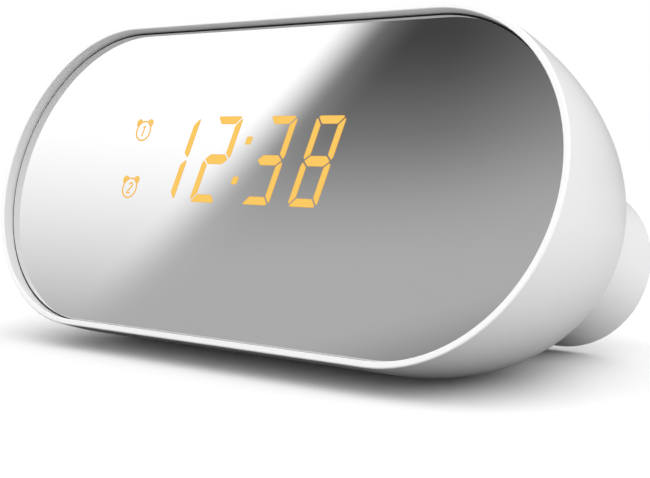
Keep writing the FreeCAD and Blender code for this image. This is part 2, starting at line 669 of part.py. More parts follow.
def segment_outlines():
    """Outlines of one digit's seven segments, unslanted, meeting edge to edge."""
    width = DIGIT_WIDTH
    height = DIGIT_HEIGHT
    side = SIDE_BAR
    clip = CORNER_CLIP
    half = height / 2
    bar = height - END_BAR
    middle_top = half + MIDDLE_BAR / 2
    middle_low = half - MIDDLE_BAR / 2
    top = [(clip / 2, height - clip / 2), (clip, height), (width - clip, height),
           (width - clip / 2, height - clip / 2), (width - side, bar), (side, bar)]
    upper_right = [(width - clip / 2, height - clip / 2), (width, height - clip), (width, half + clip),
                   (width - clip / 2, half), (width - side, middle_top), (width - side, bar)]
    middle = [(clip / 2, half), (side, middle_top), (width - side, middle_top),
              (width - clip / 2, half), (width - side, middle_low), (side, middle_low)]
    outlines = {"top": top, "upper_right": upper_right, "middle": middle}
    outlines["upper_left"] = [(width - x, z) for x, z in upper_right]
    outlines["lower_right"] = [(x, height - z) for x, z in upper_right]
    outlines["lower_left"] = [(width - x, height - z) for x, z in upper_right]
    outlines["bottom"] = [(x, height - z) for x, z in top]
    return outlines


def slanted(points, x):
    lean = math.tan(math.radians(DIGIT_SLANT))
    return [(x + px + pz * lean, DIGIT_BOTTOM + pz) for px, pz in points]


def segment_solid(points):
    """A segment's resin block, set in from its outline by half the gap."""
    corners = [V(x, MODULE_FRONT, z) for x, z in points]
    face = Part.Face(Part.makePolygon(corners + corners[:1]))
    return face.makeOffset2D(-SEGMENT_GAP / 2, 2).extrude(V(0, SEGMENT_DEPTH, 0))


def make_segments(lit):
    """The lit or the unlit segments of the four digits."""
    solids = []
    for digit, x in DIGITS:
        for name, points in segment_outlines().items():
            if (name in LIT[digit]) == lit:
                solids.append(segment_solid(slanted(points, x)))
    return Part.makeCompound(solids)


def make_colon_dots():
    width, height = COLON_DOT_SIZE
    lean = height * math.tan(math.radians(DIGIT_SLANT))
    dots = []
    for x, z in COLON_DOTS:
        corners = [(x, z), (x + width, z), (x + width + lean, z + height), (x + lean, z + height)]
        dots.append(plate(corners, MODULE_FRONT, MODULE_FRONT + SEGMENT_DEPTH))
    return Part.makeCompound(dots)


def stroke(points, width, depths):
    """A drawn line of even width with round joints and ends."""
    pieces = []
    for x, z in points:
        pieces.append(rod(x, z, width / 2, *depths))
    for (x, z), (next_x, next_z) in zip(points, points[1:]):
        length = math.hypot(next_x - x, next_z - z)
        side_x = (z - next_z) / length * width / 2
        side_z = (next_x - x) / length * width / 2
        pieces.append(plate([(x + side_x, z + side_z), (next_x + side_x, next_z + side_z),
                             (next_x - side_x, next_z - side_z), (x - side_x, z - side_z)], *depths))
    return join(pieces)


def numeral_line(numeral):
    """The line that draws a one or a two about the origin."""
    if numeral == "1":
        return [(-0.5, 0.95), (0.05, 1.4), (0.05, -1.4)]
    hook = [(0.68 * math.cos(math.radians(angle)), 0.66 + 0.68 * math.sin(math.radians(angle)))
            for angle in range(160, -35, -32)]
    return hook + [(-0.68, -1.3), (0.75, -1.3)]


def alarm_icon(numeral, x, z):
    """A round clock outline with two bells and a slanted numeral."""
    depths = (MODULE_FRONT, MODULE_FRONT + SEGMENT_DEPTH)
    outer = ICON_RADIUS + ICON_STROKE / 2
    ring = rod(x, z, outer, *depths).cut(rod(x, z, outer - ICON_STROKE, *depths))
    clear = rod(x, z, outer + 0.15, *depths)
    solids = [ring]
    for angle in (47, 133):
        way = math.radians(angle)
        bell = rod(x + 2.95 * math.cos(way), z + 2.95 * math.sin(way), 1.1, *depths)
        solids.append(bell.cut(clear))
    line = [(x + px + pz * 0.22, z + pz) for px, pz in numeral_line(numeral)]
    solids.append(stroke(line, ICON_STROKE, depths))
    return solids


def make_alarm_icons():
    solids = []
    for numeral, x, z in ICONS:
        solids += alarm_icon(numeral, x, z)
    return Part.makeCompound(solids)


def make_digit_module():
    """Dark block with a pocket for every segment, dot and icon."""
    block = box(MODULE_X, (MODULE_FRONT, MODULE_BACK), MODULE_Z)
    pockets = make_segments(True).Solids + make_segments(False).Solids
    pockets += make_colon_dots().Solids + make_alarm_icons().Solids
    return block.cut(pockets)


def make_display_board():
    board = box((-57.0, 42.0), (MODULE_BACK, DISPLAY_BOARD_BACK), (-11.0, 21.0))
    return board.cut([rod(x, z, SMALL_HOLE, 0, 30) for x, z in DISPLAY_FIXINGS])


def make_display_board_screws():
    seat = DISPLAY_BOARD_BACK
    return Part.makeCompound(flipped_screws(DISPLAY_FIXINGS, seat, 5.0, SMALL_SCREW, SMALL_HEAD, 1.3))


def make_display_chip():
    return box((-16.0, -6.0), (DISPLAY_BOARD_BACK, DISPLAY_BOARD_BACK + 1.6), (2.0, 9.0))


def make_ribbon_cable():
    """Flat cable from the display board's rear to the main board's front."""
    x = 10.0
    half_width = 6.0
    half_thick = 0.2
    high = -6.0
    low = -16.0
    bend = 4.0
    back = DISPLAY_BOARD_BACK
    front = MAIN_BOARD_BACK - BOARD_THICK
    middle = (back + front) / 2
    turn = bend * (1 - math.sqrt(0.5))
    path = [Part.makeLine(V(x, back, high), V(x, middle - bend, high)),
            Part.Arc(V(x, middle - bend, high), V(x, middle - turn, high - turn),
                     V(x, middle, high - bend)).toShape(),
            Part.makeLine(V(x, middle, high - bend), V(x, middle, low + bend)),
            Part.Arc(V(x, middle, low + bend), V(x, middle + turn, low + turn),
                     V(x, middle + bend, low)).toShape(),
            Part.makeLine(V(x, middle + bend, low), V(x, front, low))]
    corners = [V(x + side_x * half_width, back, high + side_z * half_thick)
               for side_x, side_z in ((-1, -1), (1, -1), (1, 1), (-1, 1))]
    section = Part.makePolygon(corners + corners[:1])
    return Part.Wire(path).makePipeShell([section], True, False)


# ---- chassis and main board -------------------------------------------------------------------
def make_chassis():
    """Inner plate screwed to the bowl, with posts for the main board and the drum."""
    sheet = stadium(CHASSIS_RADIUS, CHASSIS_FRONT, CHASSIS_BACK)
    posts = [rod(x, z, 3.0, CHASSIS_BACK - 1, BOSS_JOIN) for x, z in CASE_FIXINGS]
    posts += [rod(x, z, 2.6, MAIN_BOARD_BACK, CHASSIS_FRONT + 1) for x, z in MAIN_FIXINGS]
    wire_slots = [box((-34, -20), (40, 46), (-3, 3)), box((30, 40), (40, 46), (-8, 8))]
    holes = [rod(x, z, 1.6, 40, 46) for x, z in CHASSIS_FIXINGS] + wire_slots
    holes += [rod(x, z, CASE_PILOT, BOSS_JOIN - 12, BOSS_JOIN + 1) for x, z in CASE_FIXINGS]
    holes += [rod(x, z, SMALL_PILOT, MAIN_BOARD_BACK - 1, CHASSIS_BACK + 1) for x, z in MAIN_FIXINGS]
    return sheet.fuse(posts).cut(holes)


def make_chassis_screws():
    seat = CHASSIS_FRONT - 1.3
    return Part.makeCompound(small_screws(CHASSIS_FIXINGS, seat, 8.0, CHASSIS_SCREW, CHASSIS_HEAD))


def make_case_screws():
    return Part.makeCompound(flipped_screws(CASE_FIXINGS, HEAD_SHELF, 18.0, CASE_SCREW, CASE_HEAD, 2.2))


def make_main_board():
    front = MAIN_BOARD_BACK - BOARD_THICK
    board = box((-MAIN_BOARD[0] / 2, MAIN_BOARD[0] / 2), (front, MAIN_BOARD_BACK),
                (-MAIN_BOARD[1] / 2, MAIN_BOARD[1] / 2))
    return board.cut([rod(x, z, SMALL_HOLE, 0, 50) for x, z in MAIN_FIXINGS])


def make_main_board_screws():
    seat = MAIN_BOARD_BACK - BOARD_THICK - 1.3
    return Part.makeCompound(small_screws(MAIN_FIXINGS, seat, 5.5, SMALL_SCREW, SMALL_HEAD))


def on_board(xs, depth, zs):
    """A component on the main board's front face."""
    front = MAIN_BOARD_BACK - BOARD_THICK
    return box(xs, (front - depth, front), zs)


def make_main_chip():
    return on_board((-6, 8), 1.8, (-4, 10))


def make_amplifier_chip():
    return on_board((-30, -20), 1.6, (-14, -9))


def make_tuner_can():
    can = on_board((20, 44), 5.0, (-8, 16))
    front = min(can.Faces, key=lambda face: face.CenterOfMass.y)
    return can.makeFillet(0.6, front.Edges)


def make_capacitors():
    """Electrolytic cans of three sizes on the main board."""
    front = MAIN_BOARD_BACK - BOARD_THICK
    cans = []
    for x, z, (radius, height) in CAPACITORS:
        can = rod(x, z, radius, front - height, front)
        top = min(can.Faces, key=lambda face: face.CenterOfMass.y)
        cans.append(can.makeFillet(0.4, top.Edges))
    return Part.makeCompound(cans)


def make_crystal():
    front = MAIN_BOARD_BACK - BOARD_THICK
    body = box((10.5, 14.5), (front - 3.4, front), (1, 11))
    return body.makeFillet(1.6, [edge for edge in body.Edges if edge.Length < 3.5 and edge.Length > 3.3])


def make_heat_sink():
    """Finned aluminium bar behind the voltage regulator."""
    left = -26.0
    pitch = 3.0
    fin = 1.2
    heights = (12, 20)
    bar = on_board((left, left + 4 * pitch + 2), 2.0, heights)
    fins = []
    for number in range(5):
        start = left + pitch * number
        fins.append(on_board((start, start + fin), 9.0, heights))
    return join([bar] + fins)


def make_board_connectors():
    return Part.makeCompound([on_board((22, 30), 5.0, (-18, -13)), on_board((34, 40), 5.0, (-18, -13)),
                              on_board((-12, -4), 5.0, (15, 19))])


# ---- speaker and rear fittings ----------------------------------------------------------------
def turned(points):
    """A solid turned about the speaker's axis, from (depth, radius) points."""
    spots = [V(SPEAKER_X, y, radius) for y, radius in points]
    face = Part.Face(Part.makePolygon(spots + spots[:1]))
    return face.revolve(V(SPEAKER_X, 0, 0), V(0, 1, 0), 360)


def make_speaker_frame():
    face = SPEAKER_FACE
    opening = SPEAKER_OPEN_RADIUS
    frame = turned([(face, SPEAKER_RADIUS), (face, opening), (face - 0.8, opening), (face - 2.4, 15.0),
                    (face - 7.0, 10.0), (face - 7.0, 4.4), (face - 7.8, 4.4), (face - 7.8, 10.4),
                    (face - 3.0, 15.7), (face - 1.6, 16.8), (face - 0.8, SPEAKER_RADIUS)])
    windows = []
    for number in range(4):
        window = box((SPEAKER_X + 10.6, SPEAKER_X + 14.2), (face - 7.5, face - 3.2), (-3.5, 3.5))
        window.rotate(V(SPEAKER_X, 0, 0), V(0, 1, 0), 45 + 90 * number)
        windows.append(window)
    return frame.cut(windows)


def make_speaker_surround():
    face = SPEAKER_FACE
    roll = Part.makeTorus(14.7, 1.2, V(SPEAKER_X, face - 0.4, 0), V(0, 1, 0))
    hollow = Part.makeTorus(14.7, 0.9, V(SPEAKER_X, face - 0.4, 0), V(0, 1, 0))
    front_half = rod(SPEAKER_X, 0, 17, face - 0.4, face + 1.2)
    return roll.cut(hollow).common(front_half)


def make_speaker_cone():
    face = SPEAKER_FACE
    return turned([(face - 0.45, 13.6), (face - 0.45, 12.6), (face - 4.4, 4.3), (face - 4.9, 4.3),
                   (face - 0.9, 13.0), (face - 0.9, 13.6)])


def make_speaker_dust_cap():
    ball = Part.makeSphere(7.0, V(SPEAKER_X, SPEAKER_FACE - 9.6, 0))
    return ball.common(rod(SPEAKER_X, 0, 4.2, SPEAKER_FACE - 4.0, SPEAKER_FACE - 2))


def make_speaker_magnet():
    """Ferrite ring with its steel plates and the voice coil's pole."""
    face = SPEAKER_FACE
    ring = rod(SPEAKER_X, 0, 11.5, face - 15.5, face - 9.0)
    plates = [rod(SPEAKER_X, 0, 10.5, start, start + 1.2) for start in (face - 9.0, face - 16.7)]
    pole = rod(SPEAKER_X, 0, 3.6, face - 9.0, face - 5.0)
    return join([ring, pole] + plates)


def make_grille_cloth():
    """Thin cloth between the speaker's rim and the slotted wall."""
    return rod(SPEAKER_X, 0, SPEAKER_OPEN_RADIUS, SPEAKER_FACE + 0.85, DRUM_WALL_FRONT - 0.03)


def make_dc_jack():
    """Power inlet with a round nose through the rear wall."""
    x, z = JACK
    body = box((x - 4.6, x + 4.6), (DRUM_WALL_FRONT - 10.5, DRUM_WALL_FRONT - 0.05), (z - 4.8, z + 4.8))
    nose = rod(x, z, 4.1, DRUM_WALL_FRONT - 1, DRUM_BACK - 0.3)
    hole = rod(x, z, 2.75, DRUM_BACK - 9.5, DRUM_BACK + 1)
    return join([body, nose]).cut(hole)


def make_dc_jack_pin():
    x, z = JACK
    pin = rod(x, z, 1.0, DRUM_BACK - 9.5, DRUM_BACK - 1.5)
    tip = max(pin.Faces, key=lambda face: face.CenterOfMass.y)
    return pin.makeFillet(0.5, tip.Edges)


def make_antenna_grommet():
    """Rubber grommet in the wall, with the hole that an aerial wire leaves by."""
    x, z = GROMMET
    waist = rod(x, z, 2.55, DRUM_WALL_FRONT - 0.1, DRUM_BACK + 0.1)
    flanges = [rod(x, z, 3.6, DRUM_WALL_FRONT - 1.1, DRUM_WALL_FRONT - 0.05),
               rod(x, z, 3.6, DRUM_BACK + 0.05, DRUM_BACK + 1.0)]
    return join([waist] + flanges).cut(rod(x, z, 0.8, DRUM_WALL_FRONT - 3, DRUM_BACK + 3))


def lead(points, radius, bend):
    """An insulated wire of straight runs joined by tangent arcs."""
    spots = [V(*point) for point in points]
    edges = []
    start = spots[0]
    for before, corner, after in zip(spots, spots[1:], spots[2:]):
        inward = (before - corner).normalize()
        outward = (after - corner).normalize()
        half = inward.getAngle(outward) / 2
        cut = bend / math.tan(half)
        first = corner + inward * cut
        last = corner + outward * cut
        centre_way = (inward + outward).normalize()
        middle = corner + centre_way * (bend / math.sin(half) - bend)
        edges.append(Part.makeLine(start, first))
        edges.append(Part.Arc(first, middle, last).toShape())
        start = last
    edges.append(Part.makeLine(start, spots[-1]))
    way = (spots[1] - spots[0]).normalize()
    section = Part.Wire(Part.makeCircle(radius, spots[0], way))
    return Part.Wire(edges).makePipeShell([section], True, False)


def make_speaker_leads():
    """Two wires from the speaker's back to the main board's rear, through the chassis."""
    low = SPEAKER_FACE - 16.8
    wires = []
    for offset in (-1.2, 1.2):
        wires.append(lead([(SPEAKER_X - 4, low, offset), (SPEAKER_X - 4, 52, offset), (35, 48, offset),
                           (35, MAIN_BOARD_BACK, offset)], 0.6, 1.6))
    return Part.makeCompound(wires)


def make_battery_leads():
    """Two wires from the battery box's floor to the main board's rear, through the chassis."""
    start = BAY_FRONT - BATTERY_BOX_WALL - 0.1
    wires = []
    for offset in (-1.2, 1.2):
        wires.append(lead([(-22 + offset, start, 0), (-22 + offset, 54, 0), (-27 + offset, 48, 0),
                           (-27 + offset, MAIN_BOARD_BACK, 0)], 0.6, 2.0))
    return Part.makeCompound(wires)


def make_rating_label():
    """Blank rating label on the drum's underside."""
    width, length, thick = LABEL_SIZE
    label = round_box(width, length, 1.0, -DRUM_RADIUS - thick, -DRUM_RADIUS)
    label.translate(V(0, LABEL_DEPTH, 0))
    return label


def main():
    os.makedirs("parts", exist_ok=True)
    pieces = {
        "front_shell": make_front_shell(),
        "front_feet": make_front_feet(),
        "rear_feet": make_rear_feet(),
        "rear_housing": make_rear_housing(),
        "case_screws": make_case_screws(),
        "rating_label": make_rating_label(),
        "mirror_window": make_mirror_window(),
        "window_gasket": make_window_gasket(),
        "display_carrier": make_display_carrier(),
        "carrier_screws": make_carrier_screws(),
        "digit_module": make_digit_module(),
        "lit_segments": make_segments(True),
        "unlit_segments": make_segments(False),
        "colon_dots": make_colon_dots(),
        "alarm_icons": make_alarm_icons(),
        "display_board": make_display_board(),
        "display_board_screws": make_display_board_screws(),
        "display_chip": make_display_chip(),
        "ribbon_cable": make_ribbon_cable(),
        "chassis": make_chassis(),
        "chassis_screws": make_chassis_screws(),
        "main_board": make_main_board(),
        "main_board_screws": make_main_board_screws(),
        "main_chip": make_main_chip(),
        "amplifier_chip": make_amplifier_chip(),
        "tuner_can": make_tuner_can(),
        "capacitors": make_capacitors(),
        "crystal": make_crystal(),
        "heat_sink": make_heat_sink(),
        "board_connectors": make_board_connectors(),
        "key_board": make_key_board(),
        "key_board_screws": make_key_board_screws(),
        "key_switches": make_key_switches(),
        "snooze_bar": make_snooze_bar(),
        "battery_door": make_battery_door(),
        "battery_box": make_battery_box(),
        "battery_cells": make_battery_cells(),
        "battery_contacts": make_battery_contacts(),
        "battery_leads": make_battery_leads(),
        "speaker_frame": make_speaker_frame(),
        "speaker_surround": make_speaker_surround(),
        "speaker_cone": make_speaker_cone(),
        "speaker_dust_cap": make_speaker_dust_cap(),
        "speaker_magnet": make_speaker_magnet(),
        "speaker_leads": make_speaker_leads(),
        "grille_cloth": make_grille_cloth(),
        "dc_jack": make_dc_jack(),
        "dc_jack_pin": make_dc_jack_pin(),
        "antenna_grommet": make_antenna_grommet(),
    }
    for name, x in zip(KEY_NAMES, key_spots()):
        pieces[name] = make_key(x)
    for name, shape in pieces.items():
        export(shape, name)
        state = "valid" if shape.isValid() else "INVALID"
        print(name, state, len(shape.Solids), "solids", round(shape.Volume, 1))


main()
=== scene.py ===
import json
import math

import bpy
import bmesh
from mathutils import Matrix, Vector


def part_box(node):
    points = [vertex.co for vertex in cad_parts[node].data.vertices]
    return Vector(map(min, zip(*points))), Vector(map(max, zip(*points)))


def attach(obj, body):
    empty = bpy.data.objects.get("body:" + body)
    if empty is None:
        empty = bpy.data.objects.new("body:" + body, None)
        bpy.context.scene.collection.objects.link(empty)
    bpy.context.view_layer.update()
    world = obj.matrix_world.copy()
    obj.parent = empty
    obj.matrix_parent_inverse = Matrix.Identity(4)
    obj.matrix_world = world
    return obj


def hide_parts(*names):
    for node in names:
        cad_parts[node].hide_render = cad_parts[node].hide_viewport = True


# Looks of a mirror-fronted clock radio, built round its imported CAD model, in metres.
# The mirror's own axes are used for everything on it: across (to the right seen from
# the front), deep (into the case) and high (up along the mirror).

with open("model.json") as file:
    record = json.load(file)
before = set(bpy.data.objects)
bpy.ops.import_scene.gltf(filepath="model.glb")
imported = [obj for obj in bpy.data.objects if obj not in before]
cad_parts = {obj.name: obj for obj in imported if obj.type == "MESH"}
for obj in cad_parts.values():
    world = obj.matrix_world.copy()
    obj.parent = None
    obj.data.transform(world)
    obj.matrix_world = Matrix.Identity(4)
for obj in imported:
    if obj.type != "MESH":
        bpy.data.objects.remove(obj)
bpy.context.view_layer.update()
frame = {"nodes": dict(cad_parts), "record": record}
nodes = frame["nodes"]

MM = 0.001
LEAN = math.radians(18.0)   # how far the mirror leans back

ACROSS = Vector((1, 0, 0))
DEEP = Vector((0, math.cos(LEAN), -math.sin(LEAN)))
HIGH = Vector((0, math.sin(LEAN), math.cos(LEAN)))

# Depths behind the case's front lip, in millimetres.
WINDOW_SETBACK = 2.8        # the mirror's face
SEAT_DEPTH = 4.1            # the middle of the gasket that the mirror is seated on

seat_low, seat_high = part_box("window_gasket")
LIP_MIDDLE = (seat_low + seat_high) / 2 - DEEP * SEAT_DEPTH * MM


def case_point(across, deep, high):
    """A point given in millimetres along the mirror's own axes, from the middle of its lip."""
    return LIP_MIDDLE + ACROSS * across * MM + DEEP * deep * MM + HIGH * high * MM


# ---- camera -----------------------------------------------------------------------------------
CAMERA_FROM_LIP = Vector((223.2, -229.2, 10.6)) * MM
CAMERA_LOOK = Vector((-0.6472, 0.7581, -0.0801))
CAMERA_LENS = 74.84         # for a sensor of the width below, both in millimetres
SENSOR_WIDTH = 36.0
NEAREST_SEEN = 0.01         # in metres


def add_camera():
    data = bpy.data.cameras.new("camera")
    data.lens = CAMERA_LENS
    data.sensor_width = SENSOR_WIDTH
    data.clip_start = NEAREST_SEEN
    camera = bpy.data.objects.new("camera", data)
    camera.location = LIP_MIDDLE + CAMERA_FROM_LIP
    camera.rotation_euler = CAMERA_LOOK.to_track_quat("-Z", "Y").to_euler()
    bpy.context.scene.collection.objects.link(camera)
    bpy.context.scene.camera = camera


# ---- node helpers -----------------------------------------------------------------------------
def new_material(name, colour, roughness, metallic=0.0):
    """A material with a Principled shader, and its node tree and shader."""
    material = bpy.data.materials.new(name)
    material.use_nodes = True
    tree = material.node_tree
    shader = tree.nodes["Principled BSDF"]
    shader.inputs["Base Color"].default_value = (*colour, 1)
    shader.inputs["Roughness"].default_value = roughness
    shader.inputs["Metallic"].default_value = metallic
    return material, tree, shader


def link(tree, value, node, socket):
    tree.links.new(value, node.inputs[socket])


def feed(tree, value, socket):
    """Give a socket a number, or the output of another node."""
    if isinstance(value, (int, float)):
        socket.default_value = value
    else:
        tree.links.new(value, socket)


def object_place(tree):
    return tree.nodes.new("ShaderNodeTexCoord").outputs["Object"]


def noise(tree, scale, detail=2.0, place=None):
    texture = tree.nodes.new("ShaderNodeTexNoise")
    texture.inputs["Scale"].default_value = scale
    texture.inputs["Detail"].default_value = detail
    tree.links.new(place or object_place(tree), texture.inputs["Vector"])
    return texture.outputs["Fac"]


def bricks(tree, scale, gap):
    """Rows of staggered blocks: 1 in the gaps between them and 0 elsewhere."""
    texture = tree.nodes.new("ShaderNodeTexBrick")
    texture.inputs["Scale"].default_value = scale
    texture.inputs["Mortar Size"].default_value = gap
    tree.links.new(object_place(tree), texture.inputs["Vector"])
    return texture.outputs["Fac"]


def map_range(tree, kind, value, low, high, to_low, to_high):
    """Carry a value between two limits to another range of numbers."""
    step = tree.nodes.new("ShaderNodeMapRange")
    step.interpolation_type = kind
    step.inputs["From Min"].default_value = low
    step.inputs["From Max"].default_value = high
    step.inputs["To Min"].default_value = to_low
    step.inputs["To Max"].default_value = to_high
    tree.links.new(value, step.inputs["Value"])
    return step.outputs["Result"]


def ramp(tree, value, to_low, to_high):
    """Carry a 0 to 1 value evenly to another range."""
    return map_range(tree, "LINEAR", value, 0.0, 1.0, to_low, to_high)


def smooth_step(tree, value, low, high, to_low=0.0, to_high=1.0):
    """Carry a value to another range, with a soft start and a soft end."""
    return map_range(tree, "SMOOTHSTEP", value, low, high, to_low, to_high)


def math_node(tree, operation, *values):
    step = tree.nodes.new("ShaderNodeMath")
    step.operation = operation
    for value, socket in zip(values, step.inputs):
        feed(tree, value, socket)
    return step.outputs["Value"]


def sum_of(tree, terms, constant=0.0):
    """Add up values, each times its own factor, and a constant."""
    total = constant
    for value, factor in terms:
        total = math_node(tree, "MULTIPLY_ADD", value, factor, total)
    return total


def vector_node(tree, operation, place, constant=(0, 0, 0)):
    """A vector operation on a place and a constant: its number, or for SUBTRACT its vector."""
    step = tree.nodes.new("ShaderNodeVectorMath")
    step.operation = operation
    tree.links.new(place, step.inputs[0])
    step.inputs[1].default_value = constant
    return step.outputs["Vector" if operation == "SUBTRACT" else "Value"]


def blend(tree, share, first, second):
    """Blend two colours, given as numbers or by other nodes, by a 0 to 1 share."""
    mix = tree.nodes.new("ShaderNodeMix")
    mix.data_type = "RGBA"
    tree.links.new(share, mix.inputs["Factor"])
    for colour, socket in ((first, mix.inputs["A"]), (second, mix.inputs["B"])):
        if isinstance(colour, tuple):
            socket.default_value = (*colour, 1)
        else:
            tree.links.new(colour, socket)
    return mix.outputs["Result"]


def pick(tree, choice, yes, no):
    """One value where the choice is 1, another where it is 0, and a blend between."""
    mix = tree.nodes.new("ShaderNodeMix")
    tree.links.new(choice, mix.inputs["Factor"])
    feed(tree, no, mix.inputs["A"])
    feed(tree, yes, mix.inputs["B"])
    return mix.outputs["Result"]


def bump(tree, shader, height, strength, distance):
    step = tree.nodes.new("ShaderNodeBump")
    step.inputs["Strength"].default_value = strength
    step.inputs["Distance"].default_value = distance
    link(tree, height, step, "Height")
    link(tree, step.outputs["Normal"], shader, "Normal")


# ---- materials --------------------------------------------------------------------------------
def shaded(colour, share):
    return tuple(channel * share for channel in colour)


def moulded(name, colour, roughness, grain=1400.0, depth=0.000006, coat=0.0):
    """Moulded plastic: a fine grain, and a slow drift in tone and gloss."""
    material, tree, shader = new_material(name, colour, roughness)
    drift = noise(tree, scale=22.0)
    gloss = noise(tree, scale=160.0, detail=3.0)
    link(tree, blend(tree, drift, shaded(colour, 0.965), colour), shader, "Base Color")
    link(tree, ramp(tree, gloss, roughness * 0.9, roughness * 1.1), shader, "Roughness")
    bump(tree, shader, noise(tree, grain), strength=0.35, distance=depth)
    if coat:
        shader.inputs["Coat Weight"].default_value = coat
        shader.inputs["Coat Roughness"].default_value = 0.12
    return material


def metal(name, colour, roughness):
    """Plated or bare metal with fine drawn scratches along one way."""
    material, tree, shader = new_material(name, colour, roughness, metallic=1.0)
    stretch = tree.nodes.new("ShaderNodeMapping")
    stretch.inputs["Scale"].default_value = (0.08, 1.0, 1.0)
    link(tree, object_place(tree), stretch, "Vector")
    streaks = noise(tree, scale=3600.0, detail=4.0, place=stretch.outputs["Vector"])
    link(tree, ramp(tree, streaks, roughness * 0.75, roughness * 1.3), shader, "Roughness")
    link(tree, blend(tree, streaks, shaded(colour, 0.85), colour), shader, "Base Color")
    bump(tree, shader, streaks, strength=0.2, distance=0.00001)
    return material


CUT_EDGE = (0.02, 0.04)     # depths behind the mirror's face between which its cut edge begins
PAINTED_SHADE_HEIGHTS = (-27.0, 5.0)    # heights between which painted shade darkens that edge, all in millimetres


def mirror_material():
    """Half-silvered acrylic: nearly clean, with the faintest haze, and a dark cut edge, partly its own
    dark edge and partly painted shade, painted only towards the top.
    """
    material, tree, shader = new_material("half_mirror", (0.93, 0.94, 0.95), 0.02, metallic=1.0)
    haze = noise(tree, scale=35.0, detail=3.0)
    link(tree, ramp(tree, haze, 0.012, 0.03), shader, "Roughness")
    place = object_place(tree)
    depths = [case_point(0, WINDOW_SETBACK + behind, 0).dot(DEEP) for behind in CUT_EDGE]
    heights = [case_point(0, WINDOW_SETBACK, up).dot(HIGH) for up in PAINTED_SHADE_HEIGHTS]
    edge = map_range(tree, "LINEAR", vector_node(tree, "DOT_PRODUCT", place, DEEP), *depths, 0.0, 1.0)
    upper = smooth_step(tree, vector_node(tree, "DOT_PRODUCT", place, HIGH), *heights)
    silver = blend(tree, haze, (0.925, 0.925, 0.93), (0.94, 0.94, 0.945))
    # Painted shade, partly the edge's own darkness: the cut edge turns dark only towards the top.
    dark = math_node(tree, "MULTIPLY", edge, upper)
    link(tree, blend(tree, dark, silver, (0.05, 0.05, 0.052)), shader, "Base Color")
    return material


def glow_material():
    """Amber light seen in the mirror: a little deeper towards the strokes' edges."""
    material, tree, shader = new_material("amber_glow", (0.02, 0.01, 0.0), 0.5)
    shader.inputs["Specular IOR Level"].default_value = 0.0
    core = tree.nodes.new("ShaderNodeAttribute")
    core.attribute_name = "core"
    mottle = noise(tree, scale=900.0)
    deep = blend(tree, mottle, (0.88, 0.42, 0.045), (0.90, 0.45, 0.055))
    full = blend(tree, mottle, (0.94, 0.575, 0.12), (0.96, 0.595, 0.14))
    link(tree, blend(tree, core.outputs["Fac"], deep, full), shader, "Emission Color")
    shader.inputs["Emission Strength"].default_value = 1.0
    return material


def board_material():
    """Green solder mask, paler over the tracks."""
    material, tree, shader = new_material("circuit_board", (0.02, 0.13, 0.05), 0.35)
    tracks = bricks(tree, scale=60.0, gap=0.03)
    link(tree, blend(tree, tracks, (0.015, 0.11, 0.045), (0.03, 0.2, 0.08)), shader, "Base Color")
    shader.inputs["Coat Weight"].default_value = 0.4
    return material


# Where a battery's look changes, in millimetres from the bay's middle towards its nub.
COPPER_FROM = (12.8, 13.0)
NUB_FROM = (23.6, 23.7)
FLAT_END_TO = (-19.3, -19.2)


def cell_material():
    """Battery jackets: dark, with a coppery band towards the nub, and bare steel ends."""
    material, tree, shader = new_material("cell_jacket", (0.02, 0.022, 0.028), 0.3)
    low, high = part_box("battery_cells")
    offset = vector_node(tree, "SUBTRACT", object_place(tree), (low + high) / 2)
    row = math_node(tree, "SIGN", vector_node(tree, "DOT_PRODUCT", offset, HIGH))
    along = math_node(tree, "MULTIPLY", vector_node(tree, "DOT_PRODUCT", offset, ACROSS), row)

    def change(span, *results):
        return smooth_step(tree, along, span[0] * MM, span[1] * MM, *results)

    bare = math_node(tree, "MAXIMUM", change(NUB_FROM), change(FLAT_END_TO, 1.0, 0.0))
    scuffs = noise(tree, scale=400.0, detail=5.0)
    dark = blend(tree, scuffs, (0.017, 0.019, 0.024), (0.028, 0.03, 0.037))
    copper = blend(tree, scuffs, (0.46, 0.20, 0.07), (0.58, 0.29, 0.12))
    steel = blend(tree, scuffs, (0.55, 0.55, 0.54), (0.7, 0.7, 0.68))
    jacket = blend(tree, change(COPPER_FROM), dark, copper)
    link(tree, blend(tree, bare, jacket, steel), shader, "Base Color")
    link(tree, bare, shader, "Metallic")
    link(tree, ramp(tree, scuffs, 0.26, 0.36), shader, "Roughness")
    bump(tree, shader, scuffs, strength=0.1, distance=0.00001)
    return material


def cloth_material():
    """Fine black weave behind the speaker slots."""
    material, tree, shader = new_material("black_cloth", (0.012, 0.012, 0.013), 0.9)
    weave = bricks(tree, scale=900.0, gap=0.06)
    link(tree, blend(tree, weave, (0.02, 0.02, 0.021), (0.004, 0.004, 0.004)), shader, "Base Color")
    bump(tree, shader, weave, strength=0.6, distance=0.00008)
    shader.inputs["Sheen Weight"].default_value = 0.3
    return material


def paper_material():
    """The speaker cone's pressed fibres."""
    material, tree, shader = new_material("paper_cone", (0.03, 0.028, 0.026), 0.85)
    fibres = noise(tree, scale=1500.0, detail=6.0)
    link(tree, blend(tree, fibres, (0.02, 0.019, 0.018), (0.05, 0.047, 0.043)), shader, "Base Color")
    bump(tree, shader, fibres, strength=0.5, distance=0.00004)
    return material


